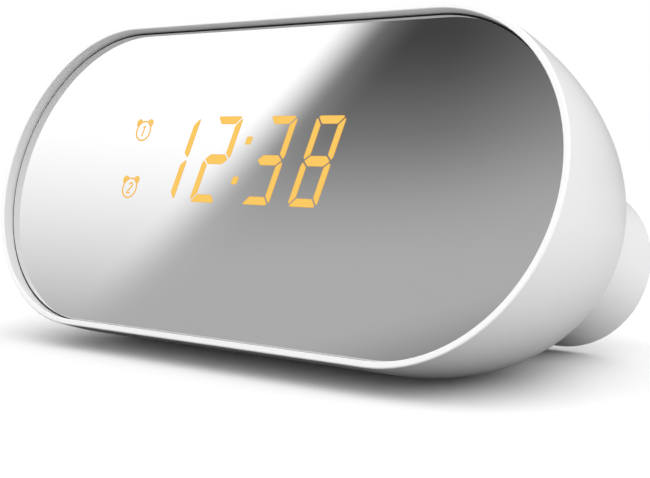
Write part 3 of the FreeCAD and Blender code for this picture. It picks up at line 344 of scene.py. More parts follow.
# How to make the material of each of the record's slots.
MATERIAL_MAKERS = {
    "white_case": lambda: moulded("white_case", (0.84, 0.84, 0.84), 0.30, coat=0.15),
    "white_keys": lambda: moulded("white_keys", (0.80, 0.80, 0.80), 0.36),
    "half_mirror": mirror_material,
    "foam_rubber": lambda: moulded("foam_rubber", (0.02, 0.02, 0.02), 0.9, 2500.0, 0.00005),
    "black_plastic": lambda: moulded("black_plastic", (0.015, 0.015, 0.016), 0.45),
    "amber_lit": lambda: moulded("amber_lit", (0.9, 0.45, 0.06), 0.4),
    "smoked_resin": lambda: moulded("smoked_resin", (0.03, 0.026, 0.022), 0.25),
    "circuit_board": board_material,
    "chip_resin": lambda: moulded("chip_resin", (0.02, 0.02, 0.022), 0.6, 2500.0, 0.00002),
    "zinc_steel": lambda: metal("zinc_steel", (0.60, 0.60, 0.58), 0.32),
    "tinplate": lambda: metal("tinplate", (0.72, 0.72, 0.70), 0.22),
    "bare_aluminium": lambda: metal("bare_aluminium", (0.78, 0.78, 0.79), 0.35),
    "cell_jacket": cell_material,
    "grey_rubber": lambda: moulded("grey_rubber", (0.06, 0.06, 0.062), 0.75, 1800.0, 0.00003),
    "ferrite": lambda: moulded("ferrite", (0.03, 0.03, 0.032), 0.55, 1500.0, 0.00003),
    "paper_cone": paper_material,
    "black_cloth": cloth_material,
    "nylon_white": lambda: moulded("nylon_white", (0.72, 0.69, 0.60), 0.4),
    "wire_insulation": lambda: moulded("wire_insulation", (0.30, 0.02, 0.02), 0.35),
    "nickel_brass": lambda: metal("nickel_brass", (0.78, 0.72, 0.58), 0.2),
    "label_film": lambda: moulded("label_film", (0.62, 0.63, 0.64), 0.38, 2000.0, 0.000008),
}


def dress_nodes(materials):
    """Give every CAD node the material of its own slot."""
    slots = {part["node"]: part["material_slot"] for part in frame["record"]["subparts"]}
    for name, piece in nodes.items():
        material = materials[slots[name]]
        piece.data.materials.clear()
        piece.data.materials.append(material)
        for face in piece.data.polygons:
            face.material_index = 0


# ---- surfaces that details are laid on --------------------------------------------------------
# Each is a function of (across, up, lift) in millimetres that gives a point in space.
DRUM_RADIUS = 20.9
DRUM_BACK = 79.5            # depth of the drum's flat back
LABEL_DEPTH = 68.0          # depth of the label's middle
LABEL_THICK = 0.15
LOOKS_UP = 0.6              # a face looks up if its normal rises at least this much


def mirror_face(across, up, lift):
    return case_point(across, WINDOW_SETBACK - lift, up)


def drum_rear(across, up, lift):
    """The drum's flat back.  Across still runs to the right as seen from the front."""
    return case_point(across, DRUM_BACK + lift, up)


def label_face(across, up, lift):
    """The rating label under the drum, with up towards the front."""
    return case_point(across, LABEL_DEPTH - up, -DRUM_RADIUS - LABEL_THICK - lift)


def key_top(name):
    """The largest flat region of a key that looks up, with up towards the rear."""
    groups = {}
    for face in nodes[name].data.polygons:
        if face.normal.z > LOOKS_UP:
            facing = tuple(round(value, 2) for value in face.normal)
            groups.setdefault(facing, []).append(face)
    faces = max(groups.values(), key=lambda group: sum(face.area for face in group))
    area = sum(face.area for face in faces)
    middle = sum((face.center * face.area for face in faces), Vector()) / area
    normal = sum((face.normal * face.area for face in faces), Vector()).normalized()
    rearwards = normal.cross(ACROSS).normalized()

    def surface(across, up, lift):
        return middle + ACROSS * across * MM + rearwards * up * MM + normal * lift * MM

    return surface


# ---- mesh helpers -----------------------------------------------------------------------------
def new_mesh():
    """A mesh whose points each carry how near they are to the middle of their stroke."""
    mesh = bmesh.new()
    mesh.verts.layers.float.new("core")
    return mesh


def finish_mesh(mesh, name, material, body, smooth=False):
    """Turn a mesh into a piece that rides on a body."""
    bmesh.ops.recalc_face_normals(mesh, faces=mesh.faces)
    data = bpy.data.meshes.new(name)
    mesh.to_mesh(data)
    mesh.free()
    data.materials.append(material)
    for face in data.polygons:
        face.use_smooth = smooth
    piece = bpy.data.objects.new(name, data)
    bpy.context.scene.collection.objects.link(piece)
    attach(piece, body)
    return piece


def inset(points, amount):
    """Move every side of a clockwise convex outline inwards."""
    lines = []
    for a, b in zip(points, points[1:] + points[:1]):
        along = Vector((b[0] - a[0], b[1] - a[1])).normalized()
        inwards = Vector((along.y, -along.x))
        lines.append((Vector(a) + inwards * amount, along))
    corners = []
    for (start, way), (other_start, other_way) in zip(lines[-1:] + lines[:-1], lines):
        across = way.x * other_way.y - way.y * other_way.x
        gap = other_start - start
        share = (gap.x * other_way.y - gap.y * other_way.x) / across
        corners.append(start + way * share)
    return [(corner.x, corner.y) for corner in corners]


def rounded(points, radius, steps=3):
    """Round an outline's corners with short arcs."""
    count = len(points)
    result = []
    for number in range(count):
        corner = Vector(points[number])
        before = (Vector(points[number - 1]) - corner).normalized()
        after = (Vector(points[(number + 1) % count]) - corner).normalized()
        for step in range(steps + 1):
            share = step / steps
            first = corner + before * radius * (1 - share)
            last = corner + after * radius * share
            result.append(tuple(first + last - corner))
    return result


def rectangle(x, z, half_width, half_height):
    """A clockwise rectangle round a point."""
    signs = ((-1, -1), (-1, 1), (1, 1), (1, -1))
    return [(x + across * half_width, z + up * half_height) for across, up in signs]


def arc(x, z, radius, start=0.0, stop=352.5, count=48):
    """Points on a circle, from one angle to another, counted from across towards up."""
    points = []
    for number in range(count):
        angle = math.radians(start + (stop - start) * number / (count - 1))
        points.append((x + radius * math.cos(angle), z + radius * math.sin(angle)))
    return points


def join_loops(mesh, first, second):
    """Skin the gap between two closed loops that have as many points."""
    for number in range(len(first)):
        following = (number + 1) % len(first)
        mesh.faces.new([first[number], first[following], second[following], second[number]])


def join_rings(mesh, rings, closed=False):
    """Skin a row of rings of points, then close both ends, or join the last to the first."""
    for lower, upper in zip(rings, rings[1:]):
        join_loops(mesh, lower, upper)
    if closed:
        join_loops(mesh, rings[-1], rings[0])
    else:
        mesh.faces.new(rings[-1])
        mesh.faces.new(list(reversed(rings[0])))


def plate(mesh, surface, outline, core_outline, thick):
    """A thin plate with a rim and a core."""
    attribute = mesh.verts.layers.float["core"]
    rings = []
    for points, lift, core in [(outline, 0.0, 0.0), (outline, thick, 0.0), (core_outline, thick, 1.0)]:
        ring = []
        for across, up in points:
            vert = mesh.verts.new(surface(across, up, lift))
            vert[attribute] = core
            ring.append(vert)
        rings.append(ring)
    join_rings(mesh, rings)


STROKE_CORE = 0.75          # how near its middle a stroke's middle line and its rims count as
STROKE_RIM = 0.25


def stroke(mesh, surface, points, width, thick, closed=False):
    """A thin raised line of even width along a row of points."""
    attribute = mesh.verts.layers.float["core"]
    spots = [Vector(point) for point in points]
    count = len(spots)
    rows = []
    for number in range(count):
        before = spots[number - 1] if number or closed else spots[0]
        after = spots[(number + 1) % count] if number < count - 1 or closed else spots[-1]
        along = (after - before).normalized()
        side = Vector((-along.y, along.x)) * width / 2
        row = []
        for offset, lift in [(-1, 0.0), (-1, thick), (0, thick), (1, thick), (1, 0.0)]:
            place = spots[number] + side * offset
            vert = mesh.verts.new(surface(place.x, place.y, lift))
            vert[attribute] = STROKE_RIM if offset else STROKE_CORE
            row.append(vert)
        rows.append(row)
    join_rings(mesh, rows, closed)


RIDGE_STEPS = (0.0, 0.45, 0.75, 0.93, 1.0)      # shares of its height where it has a ring
RIDGE_CROWN = 0.92                              # how far it closes at its top, up to 1


def ridge(mesh, surface, across, up, length, width, height):
    """A rounded bar that stands out of a surface."""
    rings = []
    for share in RIDGE_STEPS:
        radius = width / 2 * math.sqrt(1 - RIDGE_CROWN * share * share)
        half = length / 2 - width / 2
        outline = arc(across + half, up, radius, -90, 90, 9) + arc(across - half, up, radius, 90, 270, 9)
        rings.append([mesh.verts.new(surface(x, z, height * share)) for x, z in outline])
    join_rings(mesh, rings)


def tube(mesh, points, radius, sides=10):
    """A round wire along a row of points in space."""
    rings = []
    side = None
    for number, point in enumerate(points):
        before = points[max(number - 1, 0)]
        after = points[min(number + 1, len(points) - 1)]
        along = (after - before).normalized()
        if side is None:
            side = along.orthogonal().normalized()
        side = (side - along * side.dot(along)).normalized()
        other = along.cross(side)
        ring = []
        for step in range(sides):
            angle = 2 * math.pi * step / sides
            outwards = side * math.cos(angle) + other * math.sin(angle)
            ring.append(mesh.verts.new(point + outwards * radius))
        rings.append(ring)
    join_rings(mesh, rings)


# ---- digits and icons seen in the mirror ------------------------------------------------------
# Places and sizes are in millimetres, from the middle of the mirror.
DIGIT_HEIGHT = 22.3
DIGIT_WIDTH = 9.25
DIGIT_BOTTOM = -6.45
DIGIT_SLANT = math.tan(math.radians(9.5))
DIGITS = [("1", -31.75), ("2", -17.25), ("3", 0.35), ("8", 15.1)]      # and their left sides
LIT = {
    "1": ["upper_right", "lower_right"],
    "2": ["top", "upper_right", "middle", "lower_left", "bottom"],
    "3": ["top", "upper_right", "middle", "lower_right", "bottom"],
    "8": ["top", "upper_right", "upper_left", "middle", "lower_right", "lower_left", "bottom"],
}
SEGMENT_GAP = 0.4
SIDE_BAR = 2.2              # widths of the upright, the end and the middle strokes
END_BAR = 2.4
MIDDLE_BAR = 2.9
CORNER_CLIP = 1.0           # how much of a digit's outer corners is cut off
COLON_DOTS = [(-2.3, 8.55), (-4.1, -1.45)]      # their lower left corners
COLON_DOT_SIZE = (1.9, 1.95)
GLOW_RIM = 0.16             # width of the deeper amber round each stroke
GLOW_THICK = 0.04
SEGMENT_CORNER = 0.16       # corner radii of a segment and its core, and of a dot and its core
SEGMENT_CORE_CORNER = 0.1
DOT_CORNER = 0.25
DOT_CORE_CORNER = 0.15


def segment_cells():
    """Outlines of one digit's seven segments, unslanted, meeting edge to edge."""
    width = DIGIT_WIDTH
    height = DIGIT_HEIGHT
    side = SIDE_BAR
    clip = CORNER_CLIP
    half = height / 2
    bar = height - END_BAR
    middle_top = half + MIDDLE_BAR / 2
    middle_low = half - MIDDLE_BAR / 2
    top = [(clip / 2, height - clip / 2), (clip, height), (width - clip, height),
           (width - clip / 2, height - clip / 2), (width - side, bar), (side, bar)]
    upper_right = [(width - clip / 2, height - clip / 2), (width, height - clip), (width, half + clip),
                   (width - clip / 2, half), (width - side, middle_top), (width - side, bar)]
    middle = [(clip / 2, half), (side, middle_top), (width - side, middle_top),
              (width - clip / 2, half), (width - side, middle_low), (side, middle_low)]
    cells = {"top": top, "upper_right": upper_right, "middle": middle}
    cells["upper_left"] = [(width - x, z) for x, z in reversed(upper_right)]
    cells["lower_right"] = [(x, height - z) for x, z in reversed(upper_right)]
    cells["lower_left"] = [(width - x, height - z) for x, z in upper_right]
    cells["bottom"] = [(x, height - z) for x, z in reversed(top)]
    return cells


def slanted(points, x):
    return [(x + px + pz * DIGIT_SLANT, DIGIT_BOTTOM + pz) for px, pz in points]


def add_digits(glow):
    mesh = new_mesh()
    for digit, x in DIGITS:
        for name, cell in segment_cells().items():
            if name not in LIT[digit]:
                continue
            edge = rounded(inset(cell, SEGMENT_GAP / 2), SEGMENT_CORNER)
            core = rounded(inset(cell, SEGMENT_GAP / 2 + GLOW_RIM), SEGMENT_CORE_CORNER)
            plate(mesh, mirror_face, slanted(edge, x), slanted(core, x), GLOW_THICK)
    width, height = COLON_DOT_SIZE
    lean = height * DIGIT_SLANT
    for x, z in COLON_DOTS:
        dot = [(x, z), (x + lean, z + height), (x + width + lean, z + height), (x + width, z)]
        core = rounded(inset(dot, GLOW_RIM), DOT_CORE_CORNER)
        plate(mesh, mirror_face, rounded(dot, DOT_CORNER), core, GLOW_THICK)
    finish_mesh(mesh, "digit_glow", glow, "housing")


ICONS = [("1", -39.45, 11.9), ("2", -39.75, -3.35)]     # numerals, and their clocks' middles
ICON_LINE = 0.4
ICON_RADIUS = 2.55
ICON_SLANT = 0.22
BELL_WAYS = (47, 133)       # degrees from across towards up
BELL_DISTANCE = 2.95
BELL_RADIUS = 1.04
BELL_HALF = 78              # half of the bell's arc, and of its foot's, in degrees
FOOT_HALF = 23
FOOT_GAP = 0.3              # between the clock's outline and the bell's foot
BELL_CORE = 0.72            # a bell's core: its size, and how far out it sits
BELL_CORE_SHIFT = 0.15
NUMERALS = {
    "1": [(-0.5, 0.95), (0.05, 1.4), (0.05, -1.4)],
    "2": arc(0.0, 0.66, 0.68, 160, -29, 10) + [(-0.2, -0.7), (-0.68, -1.3), (0.75, -1.3)],
}


def clock_icon(mesh, surface, x, z, numeral, size, line, thick):
    """A round clock with two bells, and a slanted numeral in its face."""
    stroke(mesh, surface, arc(x, z, ICON_RADIUS * size), line, thick, closed=True)
    for facing in BELL_WAYS:
        out_x = size * math.cos(math.radians(facing))
        out_z = size * math.sin(math.radians(facing))
        bell_x = x + BELL_DISTANCE * out_x
        bell_z = z + BELL_DISTANCE * out_z
        dome = arc(bell_x, bell_z, BELL_RADIUS * size, facing + BELL_HALF, facing - BELL_HALF, 16)
        foot = arc(x, z, ICON_RADIUS * size + FOOT_GAP, facing - FOOT_HALF, facing + FOOT_HALF, 8)
        core = [(bell_x + (px - bell_x) * BELL_CORE + BELL_CORE_SHIFT * out_x,
                 bell_z + (pz - bell_z) * BELL_CORE + BELL_CORE_SHIFT * out_z)
                for px, pz in dome + foot]
        plate(mesh, surface, dome + foot, core, thick)
    points = [(x + (px + pz * ICON_SLANT) * size, z + pz * size) for px, pz in NUMERALS[numeral]]
    stroke(mesh, surface, points, line, thick)


def add_icons(glow):
    mesh = new_mesh()
    for numeral, x, z in ICONS:
        clock_icon(mesh, mirror_face, x, z, numeral, 1.0, ICON_LINE, GLOW_THICK)
    finish_mesh(mesh, "alarm_icon_glow", glow, "housing")


# ---- markings on the keys and the back --------------------------------------------------------
PRINT_THICK = 0.02
PRINT_LINE = 0.34
CHEVRON_LINE = 0.40
SIGN_LINE = 0.44
KEY_ICON_SIZE = 0.62
KEY_ICON_LINE = 0.3
KEY_ICON_DROP = 0.25        # how far below the key's middle the clock sits
CLOCK_RADIUS = 1.55
MOON_RADIUS = 1.65
MOON_BITE = (0.85, 1.52)    # how far across the round bite out of the moon is, and its radius
MOON_CORE = 0.9             # size of the moon's core


def alarm_icon(mesh, surface, numeral):
    clock_icon(mesh, surface, 0, -KEY_ICON_DROP, numeral, KEY_ICON_SIZE, KEY_ICON_LINE, PRINT_THICK)


def clock_face_lines(mesh, surface):
    stroke(mesh, surface, arc(0, 0, CLOCK_RADIUS), PRINT_LINE, PRINT_THICK, closed=True)
    stroke(mesh, surface, [(0, 0.95), (0, 0), (0.65, -0.35)], PRINT_LINE, PRINT_THICK)


def moon_plate(mesh, surface):
    bite_across, bite_radius = MOON_BITE
    outer = arc(0, 0, MOON_RADIUS, 55, 305, 24)
    inner = arc(bite_across, 0, bite_radius, 245, 115, 18)
    middle = [(px * MOON_CORE - 0.05, pz * MOON_CORE) for px, pz in outer]
    middle += [(px * MOON_CORE - 0.12, pz * MOON_CORE) for px, pz in inner]
    plate(mesh, surface, outer + inner, middle, PRINT_THICK)


def chevron_lines(mesh, surface, way):
    for shift in (-0.75, 0.75):
        points = [(shift - 0.5 * way, 1.1), (shift + 0.5 * way, 0), (shift - 0.5 * way, -1.1)]
        stroke(mesh, surface, points, CHEVRON_LINE, PRINT_THICK)


def sign_lines(mesh, surface, crossed):
    """A minus, or a plus whose upright is in two halves that meet the bar."""
    stroke(mesh, surface, [(-1.25, 0), (1.25, 0)], SIGN_LINE, PRINT_THICK)
    if crossed:
        for start, end in [(-1.25, -0.23), (0.23, 1.25)]:
            stroke(mesh, surface, [(0, start), (0, end)], SIGN_LINE, PRINT_THICK)


KEY_MARKS = {
    "alarm_one_key": lambda mesh, top: alarm_icon(mesh, top, "1"),
    "alarm_two_key": lambda mesh, top: alarm_icon(mesh, top, "2"),
    "sleep_key": moon_plate,
    "set_key": clock_face_lines,
    "tune_down_key": lambda mesh, top: chevron_lines(mesh, top, -1),
    "tune_up_key": lambda mesh, top: chevron_lines(mesh, top, 1),
    "volume_down_key": lambda mesh, top: sign_lines(mesh, top, False),
    "volume_up_key": lambda mesh, top: sign_lines(mesh, top, True),
}


def add_key_marks(ink):
    """A printed sign on each key, which rides on the key."""
    for name, draw in KEY_MARKS.items():
        mesh = new_mesh()
        draw(mesh, key_top(name))
        finish_mesh(mesh, name.replace("_key", "_mark"), ink, name.replace("_key", ""))


SNOOZE_RIDGES = (-7.0, 0.0, 7.0)


def add_snooze_ridges(plastic):
    """Three short ridges that a finger finds in the dark."""
    mesh = new_mesh()
    top = key_top("snooze_bar")
    for offset in SNOOZE_RIDGES:
        ridge(mesh, top, offset, 0.0, length=4.6, width=0.9, height=0.28)
    finish_mesh(mesh, "snooze_ridges", plastic, "snooze", smooth=True)


JACK_PLACE = (11.5, -9.0)   # across and up on the drum's back, as all the signs there
GROMMET_PLACE = (11.5, 9.0)
RAISED_THICK = 0.12
RAISED_LINE = 0.3
POLARITY_RISE = 7.2         # height of the polarity signs above the power inlet
POLARITY_SIDE = 3.6         # distance of the minus and the plus from the middle sign
RING_RADIUS = 1.05
SIGN_ARM = 0.55             # half the length of the minus and the plus
AERIAL_DROP = 6.6           # distance of the aerial's sign below the grommet


def add_moulded_signs(plastic):
    """Raised signs on the back: the power inlet's polarity, and an aerial below the grommet."""
    mesh = new_mesh()

    def line(points, closed=False):
        stroke(mesh, drum_rear, points, RAISED_LINE, RAISED_THICK, closed)

    x, z = JACK_PLACE
    z += POLARITY_RISE
    for side in (-1, 1):
        middle = x + side * POLARITY_SIDE
        line(arc(middle, z, RING_RADIUS, count=32), closed=True)
        line([(middle - SIGN_ARM, z), (middle + SIGN_ARM, z)])
        line([(x + side * 2.4, z), (x + side * 1.25, z)])
    for start, end in [(-SIGN_ARM, -0.16), (0.16, SIGN_ARM)]:
        line([(x + POLARITY_SIDE, z + start), (x + POLARITY_SIDE, z + end)])
    plate(mesh, drum_rear, arc(x, z, 0.42, 345, 0, 16), arc(x, z, 0.3, 345, 0, 16), RAISED_THICK)
    line(arc(x, z, RING_RADIUS, 40, 320, 28))
    x, z = GROMMET_PLACE
    z -= AERIAL_DROP
    line([(x, z - 1.0), (x, z + 1.9)])
    for side in (-1, 1):
        line([(x + side * 1.3, z + 1.9), (x + side * 0.18, z + 0.5)])
    finish_mesh(mesh, "moulded_signs", plastic, "housing")


DOOR_MIDDLE = -25.0
ARROW_THICK = 0.15
CELL_SIGNS = (-2.9, -6.9)   # heights of the two cells' outlines
CELL_SIGN_HALF = (8.5, 1.3)
CELL_SIGN_THICK = 0.1


def add_door_arrow(plastic):
    """A raised arrow on the battery door, the way it slides, and the two cells below it."""
    mesh = new_mesh()
    x = DOOR_MIDDLE
    head = [(x - 2.4, 1.4), (x, 4.4), (x + 2.4, 1.4)]
    plate(mesh, drum_rear, rounded(head, 0.3), rounded(inset(head, 0.25), 0.2), ARROW_THICK)
    for up in CELL_SIGNS:
        body = rounded(rectangle(x, up, *CELL_SIGN_HALF), 0.4)
        stroke(mesh, drum_rear, body, RAISED_LINE, CELL_SIGN_THICK, closed=True)
    finish_mesh(mesh, "door_arrow", plastic, "door")


LABEL_BORDER_HALF = (25.6, 4.8)
BORDER_LINE = 0.22
FIELD_LINE = 0.16


def add_label_lines(ink):
    """A thin border and empty fields on the blank rating label."""
    mesh = new_mesh()
    border = rounded(rectangle(0, 0, *LABEL_BORDER_HALF), 0.8)
    stroke(mesh, label_face, border, BORDER_LINE, PRINT_THICK, closed=True)
    stroke(mesh, label_face, [(-8.0, -4.6), (-8.0, 4.6)], FIELD_LINE, PRINT_THICK)
    for up in (-1.6, 1.6):
        stroke(mesh, label_face, [(-7.8, up), (25.4, up)], FIELD_LINE, PRINT_THICK)
    stroke(mesh, label_face, arc(-16.8, 0, 2.6), BORDER_LINE, PRINT_THICK, closed=True)
    finish_mesh(mesh, "label_lines", ink, "housing")


# ---- cloth behind the speaker slots -----------------------------------------------------------
# In millimetres on the mirror's axes, as are the battery contacts after it.
SPEAKER_ACROSS = 48.4
GRILLE_RADIUS = 16.2
GRILLE_DEPTH = 77.36
GRILLE_THICK = 0.16
GRILLE_RINGS = 24
GRILLE_SPOKES = 96
GRILLE_SLACK = 0.015        # height of its slow ripples


def grille_layer(mesh, side):
    """One face of the cloth.  It gives back its outermost ring of points."""
    face_depth = GRILLE_DEPTH + side * GRILLE_THICK / 2
    middle = mesh.verts.new(case_point(SPEAKER_ACROSS, face_depth, 0))
    rows = []
    for ring in range(1, GRILLE_RINGS + 1):
        radius = GRILLE_RADIUS * ring / GRILLE_RINGS
        row = []
        for spoke in range(GRILLE_SPOKES):
            angle = 2 * math.pi * spoke / GRILLE_SPOKES
            across = radius * math.cos(angle)
            high = radius * math.sin(angle)
            slack = GRILLE_SLACK * math.sin(across * 1.9) * math.sin(high * 1.7)
            point = case_point(SPEAKER_ACROSS + across, face_depth + slack, high)
            row.append(mesh.verts.new(point))
        rows.append(row)
    for number, point in enumerate(rows[0]):
        mesh.faces.new([middle, point, rows[0][(number + 1) % GRILLE_SPOKES]])
    for inner, outer in zip(rows, rows[1:]):
        join_loops(mesh, inner, outer)
    return rows[-1]


def add_grille_cloth(cloth):
    """Thin cloth stretched behind the speaker slots, with a little slack in it."""
    mesh = bmesh.new()
    near, far = (grille_layer(mesh, side) for side in (-1, 1))
    join_loops(mesh, near, far)
    piece = finish_mesh(mesh, "speaker_cloth", cloth, "housing", smooth=True)
    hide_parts("grille_cloth")


# ---- battery contacts -------------------------------------------------------------------------
BAY_MIDDLE = -25.0
BAY_HALF = 25.35            # half of the bay's length
CELL_DEPTH = 70.4           # depth of the cells' axes
CELL_HEIGHTS = (5.7, -5.7)
CONTACT_THICK = 0.35
CONTACT_CORNER = 1.0
# A contact plate's outline round its cell's axis, as (deep, up).
CONTACT_OUTLINE = [(-4.4, -4.5), (-4.4, 4.5), (5.1, 4.5), (5.1, -4.5)]
SPRING_LENGTH = 5.35
SPRING_TURNS = 4.25
SPRING_STEPS = 120
SPRING_FOOT = 3.6           # coil radius at the plate, and how much less it is at the cell
SPRING_TAPER = 1.35
WIRE_RADIUS = 0.3


def add_battery_contacts(tin):
    """Pressed contact plates, and a conical wire spring at each cell's flat end."""
    mesh = new_mesh()
    outline = rounded(CONTACT_OUTLINE, CONTACT_CORNER, 5)
    for way, cell_height in zip((1, -1), CELL_HEIGHTS):

        def bay(along, deep, up):
            return case_point(BAY_MIDDLE + way * along, CELL_DEPTH + deep, cell_height + way * up)

        for side in (-1, 1):
            rings = []
            for along in (BAY_HALF, BAY_HALF - CONTACT_THICK):
                rings.append([mesh.verts.new(bay(side * along, deep, up)) for deep, up in outline])
            join_rings(mesh, rings)
        spring = []
        for step in range(SPRING_STEPS + 1):
            share = step / SPRING_STEPS
            angle = 2 * math.pi * SPRING_TURNS * share
            radius = SPRING_FOOT - SPRING_TAPER * share
            reach = WIRE_RADIUS + (SPRING_LENGTH - 2 * WIRE_RADIUS) * share
            along = CONTACT_THICK - BAY_HALF + reach
            spring.append(bay(along, radius * math.cos(angle), radius * math.sin(angle)))
        tube(mesh, spring, WIRE_RADIUS * MM)
    piece = finish_mesh(mesh, "battery_springs", tin, "housing")
    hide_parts("battery_contacts")


# ---- surroundings -----------------------------------------------------------------------------
FLOOR_SIZE = 8.0
FLOOR_NEAR = 0.2            # distances from the origin that it burns out to white between
FLOOR_FAR = 0.5
FLOOR_IN_GLOSS = 0.41       # how bright it is out there for all but the camera
# Painted shade: for all but the camera, the floor's colour is darkened round this spot under the radio.
SHADED_SPOT = (-0.01, -0.025, 0.0)
SHADED_FLOOR = (0.04, 0.13)  # distances from that spot, under the radio and clear of it
SHADED_BOUNCE = 0.1         # painted shade: how much of the light the floor sends back up under the radio
FLOOR_BOUNCE = 0.48         # and clear of it


def add_floor():
    """White paper, shaded near the radio and burnt out to plain white further off.

    It throws back less light than it shows, so the radio's underside stays dark."""
    bpy.ops.mesh.primitive_plane_add(size=FLOOR_SIZE, location=(0, 0, 0))
    floor = bpy.context.object
    floor.name = "floor"
    material, tree, shader = new_material("floor_paper", (0.93, 0.93, 0.93), 0.9)
    shader.inputs["Specular IOR Level"].default_value = 0.1
    seen = tree.nodes.new("ShaderNodeLightPath").outputs["Is Camera Ray"]
    paper = ramp(tree, noise(tree, scale=3.0), 0.925, 0.935)
    from_spot = vector_node(tree, "DISTANCE", object_place(tree), SHADED_SPOT)
    # Painted shade: darker under the radio for all but the camera.
    bounce = smooth_step(tree, from_spot, *SHADED_FLOOR, SHADED_BOUNCE, FLOOR_BOUNCE)
    grey = tree.nodes.new("ShaderNodeCombineColor")
    for channel in grey.inputs:
        tree.links.new(pick(tree, seen, paper, bounce), channel)
    link(tree, grey.outputs["Color"], shader, "Base Color")
    glare = tree.nodes.new("ShaderNodeEmission")
    link(tree, pick(tree, seen, 1.0, FLOOR_IN_GLOSS), glare, "Strength")
    distance = vector_node(tree, "LENGTH", object_place(tree))
    mix = tree.nodes.new("ShaderNodeMixShader")
    link(tree, smooth_step(tree, distance, FLOOR_NEAR, FLOOR_FAR), mix, "Fac")
    link(tree, shader.outputs["BSDF"], mix, 1)
    link(tree, glare.outputs["Emission"], mix, 2)
    link(tree, mix.outputs["Shader"], tree.nodes["Material Output"], "Surface")
    floor.data.materials.append(material)


# The mirror shows its studio.  These lay the studio out in the mirror's own millimetres,
# across and high from its middle, as a viewer at the camera's place sees it there.
STUDIO_TURN = 49.0          # the way seen in the mirror's middle: degrees round to the left
STUDIO_RISE = 23.2          # from straight out in front, and degrees up
ACROSS_PER_DEGREE = (1.864, -6.918)     # millimetres for a degree of rise, and for one of turn
HIGH_PER_DEGREE = (5.385, 2.237)
EDGE_LEAN = 0.865           # how far the edge leans to the right for each millimetre up
EDGE_SHIFT = 5.0            # and how far it lies to the left of the middle
WIDE_FADE_SHARE = 0.14      # how much of the edge's fade is its wide part
LEAST_LIT = 0.04            # how dark the mirror's darkest part may be
BACKDROP_GLOSS = 0.15       # what glancing reflections pick up from behind the radio

# Soft boxes that a viewer in front, or to the left, sees glow in the mirror, and the cosines
# that each glow fades between.
SOFT_BOXES = [(-0.10, -0.72, 0.68), (0.63, -0.70, 0.34)]
SOFT_BOX_FADE = (0.955, 0.999)
SOFT_BOX_GLOW = 0.6


def studio_place(tree, way):
    """Where a way out into the studio shows in the mirror: across and high."""
    split = tree.nodes.new("ShaderNodeSeparateXYZ")
    link(tree, way, split, "Vector")
    x, y, z = (split.outputs[axis] for axis in "XYZ")
    left = math_node(tree, "MULTIPLY", x, -1.0)
    outwards = math_node(tree, "MULTIPLY", y, -1.0)
    degrees = 180 / math.pi
    turn = sum_of(tree, [(math_node(tree, "ARCTAN2", left, outwards), degrees)], -STUDIO_TURN)
    rise = sum_of(tree, [(math_node(tree, "ARCSINE", z), degrees)], -STUDIO_RISE)
    across, high = (sum_of(tree, zip((rise, turn), factors))
                    for factors in (ACROSS_PER_DEGREE, HIGH_PER_DEGREE))
    return across, high


def studio_seen_in_gloss(tree, way):
    """A white side and a grey side with a soft leaning edge between them, and soft boxes."""
    across, high = studio_place(tree, way)

    edge = sum_of(tree, [(across, 1.0), (high, -EDGE_LEAN)], EDGE_SHIFT)
    narrow_fade = smooth_step(tree, edge, -11.5, 9.5)
    wide_fade = smooth_step(tree, edge, -2.0, 22.0)
    shade = sum_of(tree, [(narrow_fade, 1 - WIDE_FADE_SHARE), (wide_fade, WIDE_FADE_SHARE)])

    # The white side darkens downwards, but not below the floor's own brightness.
    white = math_node(tree, "MAXIMUM", smooth_step(tree, high, -120.0, 27.5, -0.51, 1.15),
                      FLOOR_IN_GLOSS)

    # The grey side darkens upwards, deepest near the edge, and dims in a band low on the right.
    upwards = smooth_step(tree, high, -8.5, 39.0, 0.432, 0.23)
    near_edge = smooth_step(tree, across, 55.0, 115.0, -0.174, -0.09)
    deepening = math_node(tree, "MULTIPLY", near_edge, smooth_step(tree, high, -23.5, 14.0))
    low_right = sum_of(tree, [(across, 0.2), (high, -1.0)])
    band_start = smooth_step(tree, low_right, 45.0, 63.0, 0.0, -0.18)
    band_end = smooth_step(tree, low_right, 58.0, 80.0, 1.0, 0.0)
    falloff = math_node(tree, "MULTIPLY", band_start, band_end)
    grey = sum_of(tree, [(deepening, 1.0), (falloff, 1.0)], upwards)

    front = math_node(tree, "MAXIMUM", pick(tree, shade, grey, white), LEAST_LIT)
    for middle in SOFT_BOXES:
        nearness = vector_node(tree, "DOT_PRODUCT", way, Vector(middle).normalized())
        glow = smooth_step(tree, nearness, *SOFT_BOX_FADE, 0.0, SOFT_BOX_GLOW)
        front = math_node(tree, "ADD", front, glow)
    rearwards = vector_node(tree, "DOT_PRODUCT", way, (0, 1, 0))
    return pick(tree, smooth_step(tree, rearwards, -0.1, 0.5), BACKDROP_GLOSS, front)


# Ways that even light comes from, the cosines it fades in between, and its strength.
FILLS = [
    ((0.0, -1.0, 0.0), -0.2, 0.8, 0.97),
    ((0.0, 0.0, 1.0), 0.3, 1.0, 0.76),
    ((-1.0, 0.0, 0.0), 0.0, 1.0, 0.70),
    ((1.0, 0.0, 0.0), 0.0, 1.0, 1.48),
]


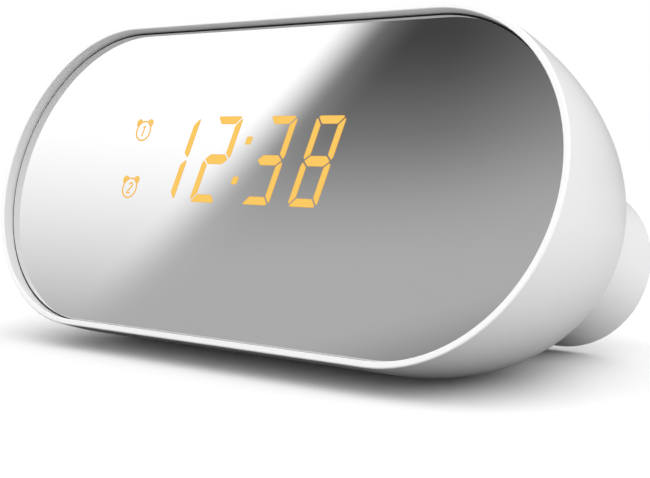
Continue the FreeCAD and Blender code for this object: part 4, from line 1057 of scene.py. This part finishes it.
def add_world():
    """The studio: plain white behind the radio, an even fill, and a mirrored scene of its own."""
    world = bpy.data.worlds.new("studio")
    bpy.context.scene.world = world
    world.use_nodes = True
    tree = world.node_tree
    background = tree.nodes["Background"]
    way = tree.nodes.new("ShaderNodeTexCoord").outputs["Generated"]
    path = tree.nodes.new("ShaderNodeLightPath")
    fill = 0.0
    for source, low, high, amount in FILLS:
        cosine = vector_node(tree, "DOT_PRODUCT", way, source)
        fill = math_node(tree, "ADD", smooth_step(tree, cosine, low, high, 0.0, amount), fill)
    strength = pick(tree, path.outputs["Is Glossy Ray"], studio_seen_in_gloss(tree, way), fill)
    strength = pick(tree, path.outputs["Is Camera Ray"], 1.0, strength)
    link(tree, strength, background, "Strength")
    background.inputs["Color"].default_value = (1, 1, 1, 1)


# name, place, disk size, power
LIGHTS = [
    ("front_left_light", (-0.7, -1.2, 0.35), 0.6, 1.7),
    ("rear_light", (0.1, 1.0, 1.1), 1.0, 4.4),
]


def add_soft_light(name, place, size, power):
    """A round soft light that points at the origin and doesn't show in the mirror."""
    data = bpy.data.lights.new(name, "AREA")
    data.shape = "DISK"
    data.size = size
    data.energy = power
    light = bpy.data.objects.new(name, data)
    light.location = place
    light.rotation_euler = Vector(place).to_track_quat("Z", "Y").to_euler()
    light.visible_glossy = False
    bpy.context.scene.collection.objects.link(light)


def main():
    bpy.context.scene.view_settings.view_transform = "Standard"
    add_camera()
    materials = {slot: maker() for slot, maker in MATERIAL_MAKERS.items()}
    dress_nodes(materials)
    glow = glow_material()
    ink = moulded("printed_ink", (0.09, 0.095, 0.1), 0.55, 2500.0, 0.000004)
    add_digits(glow)
    add_icons(glow)
    add_key_marks(ink)
    add_snooze_ridges(materials["white_keys"])
    add_moulded_signs(materials["white_case"])
    add_door_arrow(materials["white_case"])
    add_label_lines(ink)
    add_grille_cloth(materials["black_cloth"])
    add_battery_contacts(materials["tinplate"])
    add_floor()
    add_world()
    for name, place, size, power in LIGHTS:
        add_soft_light(name, place, size, power)


main()
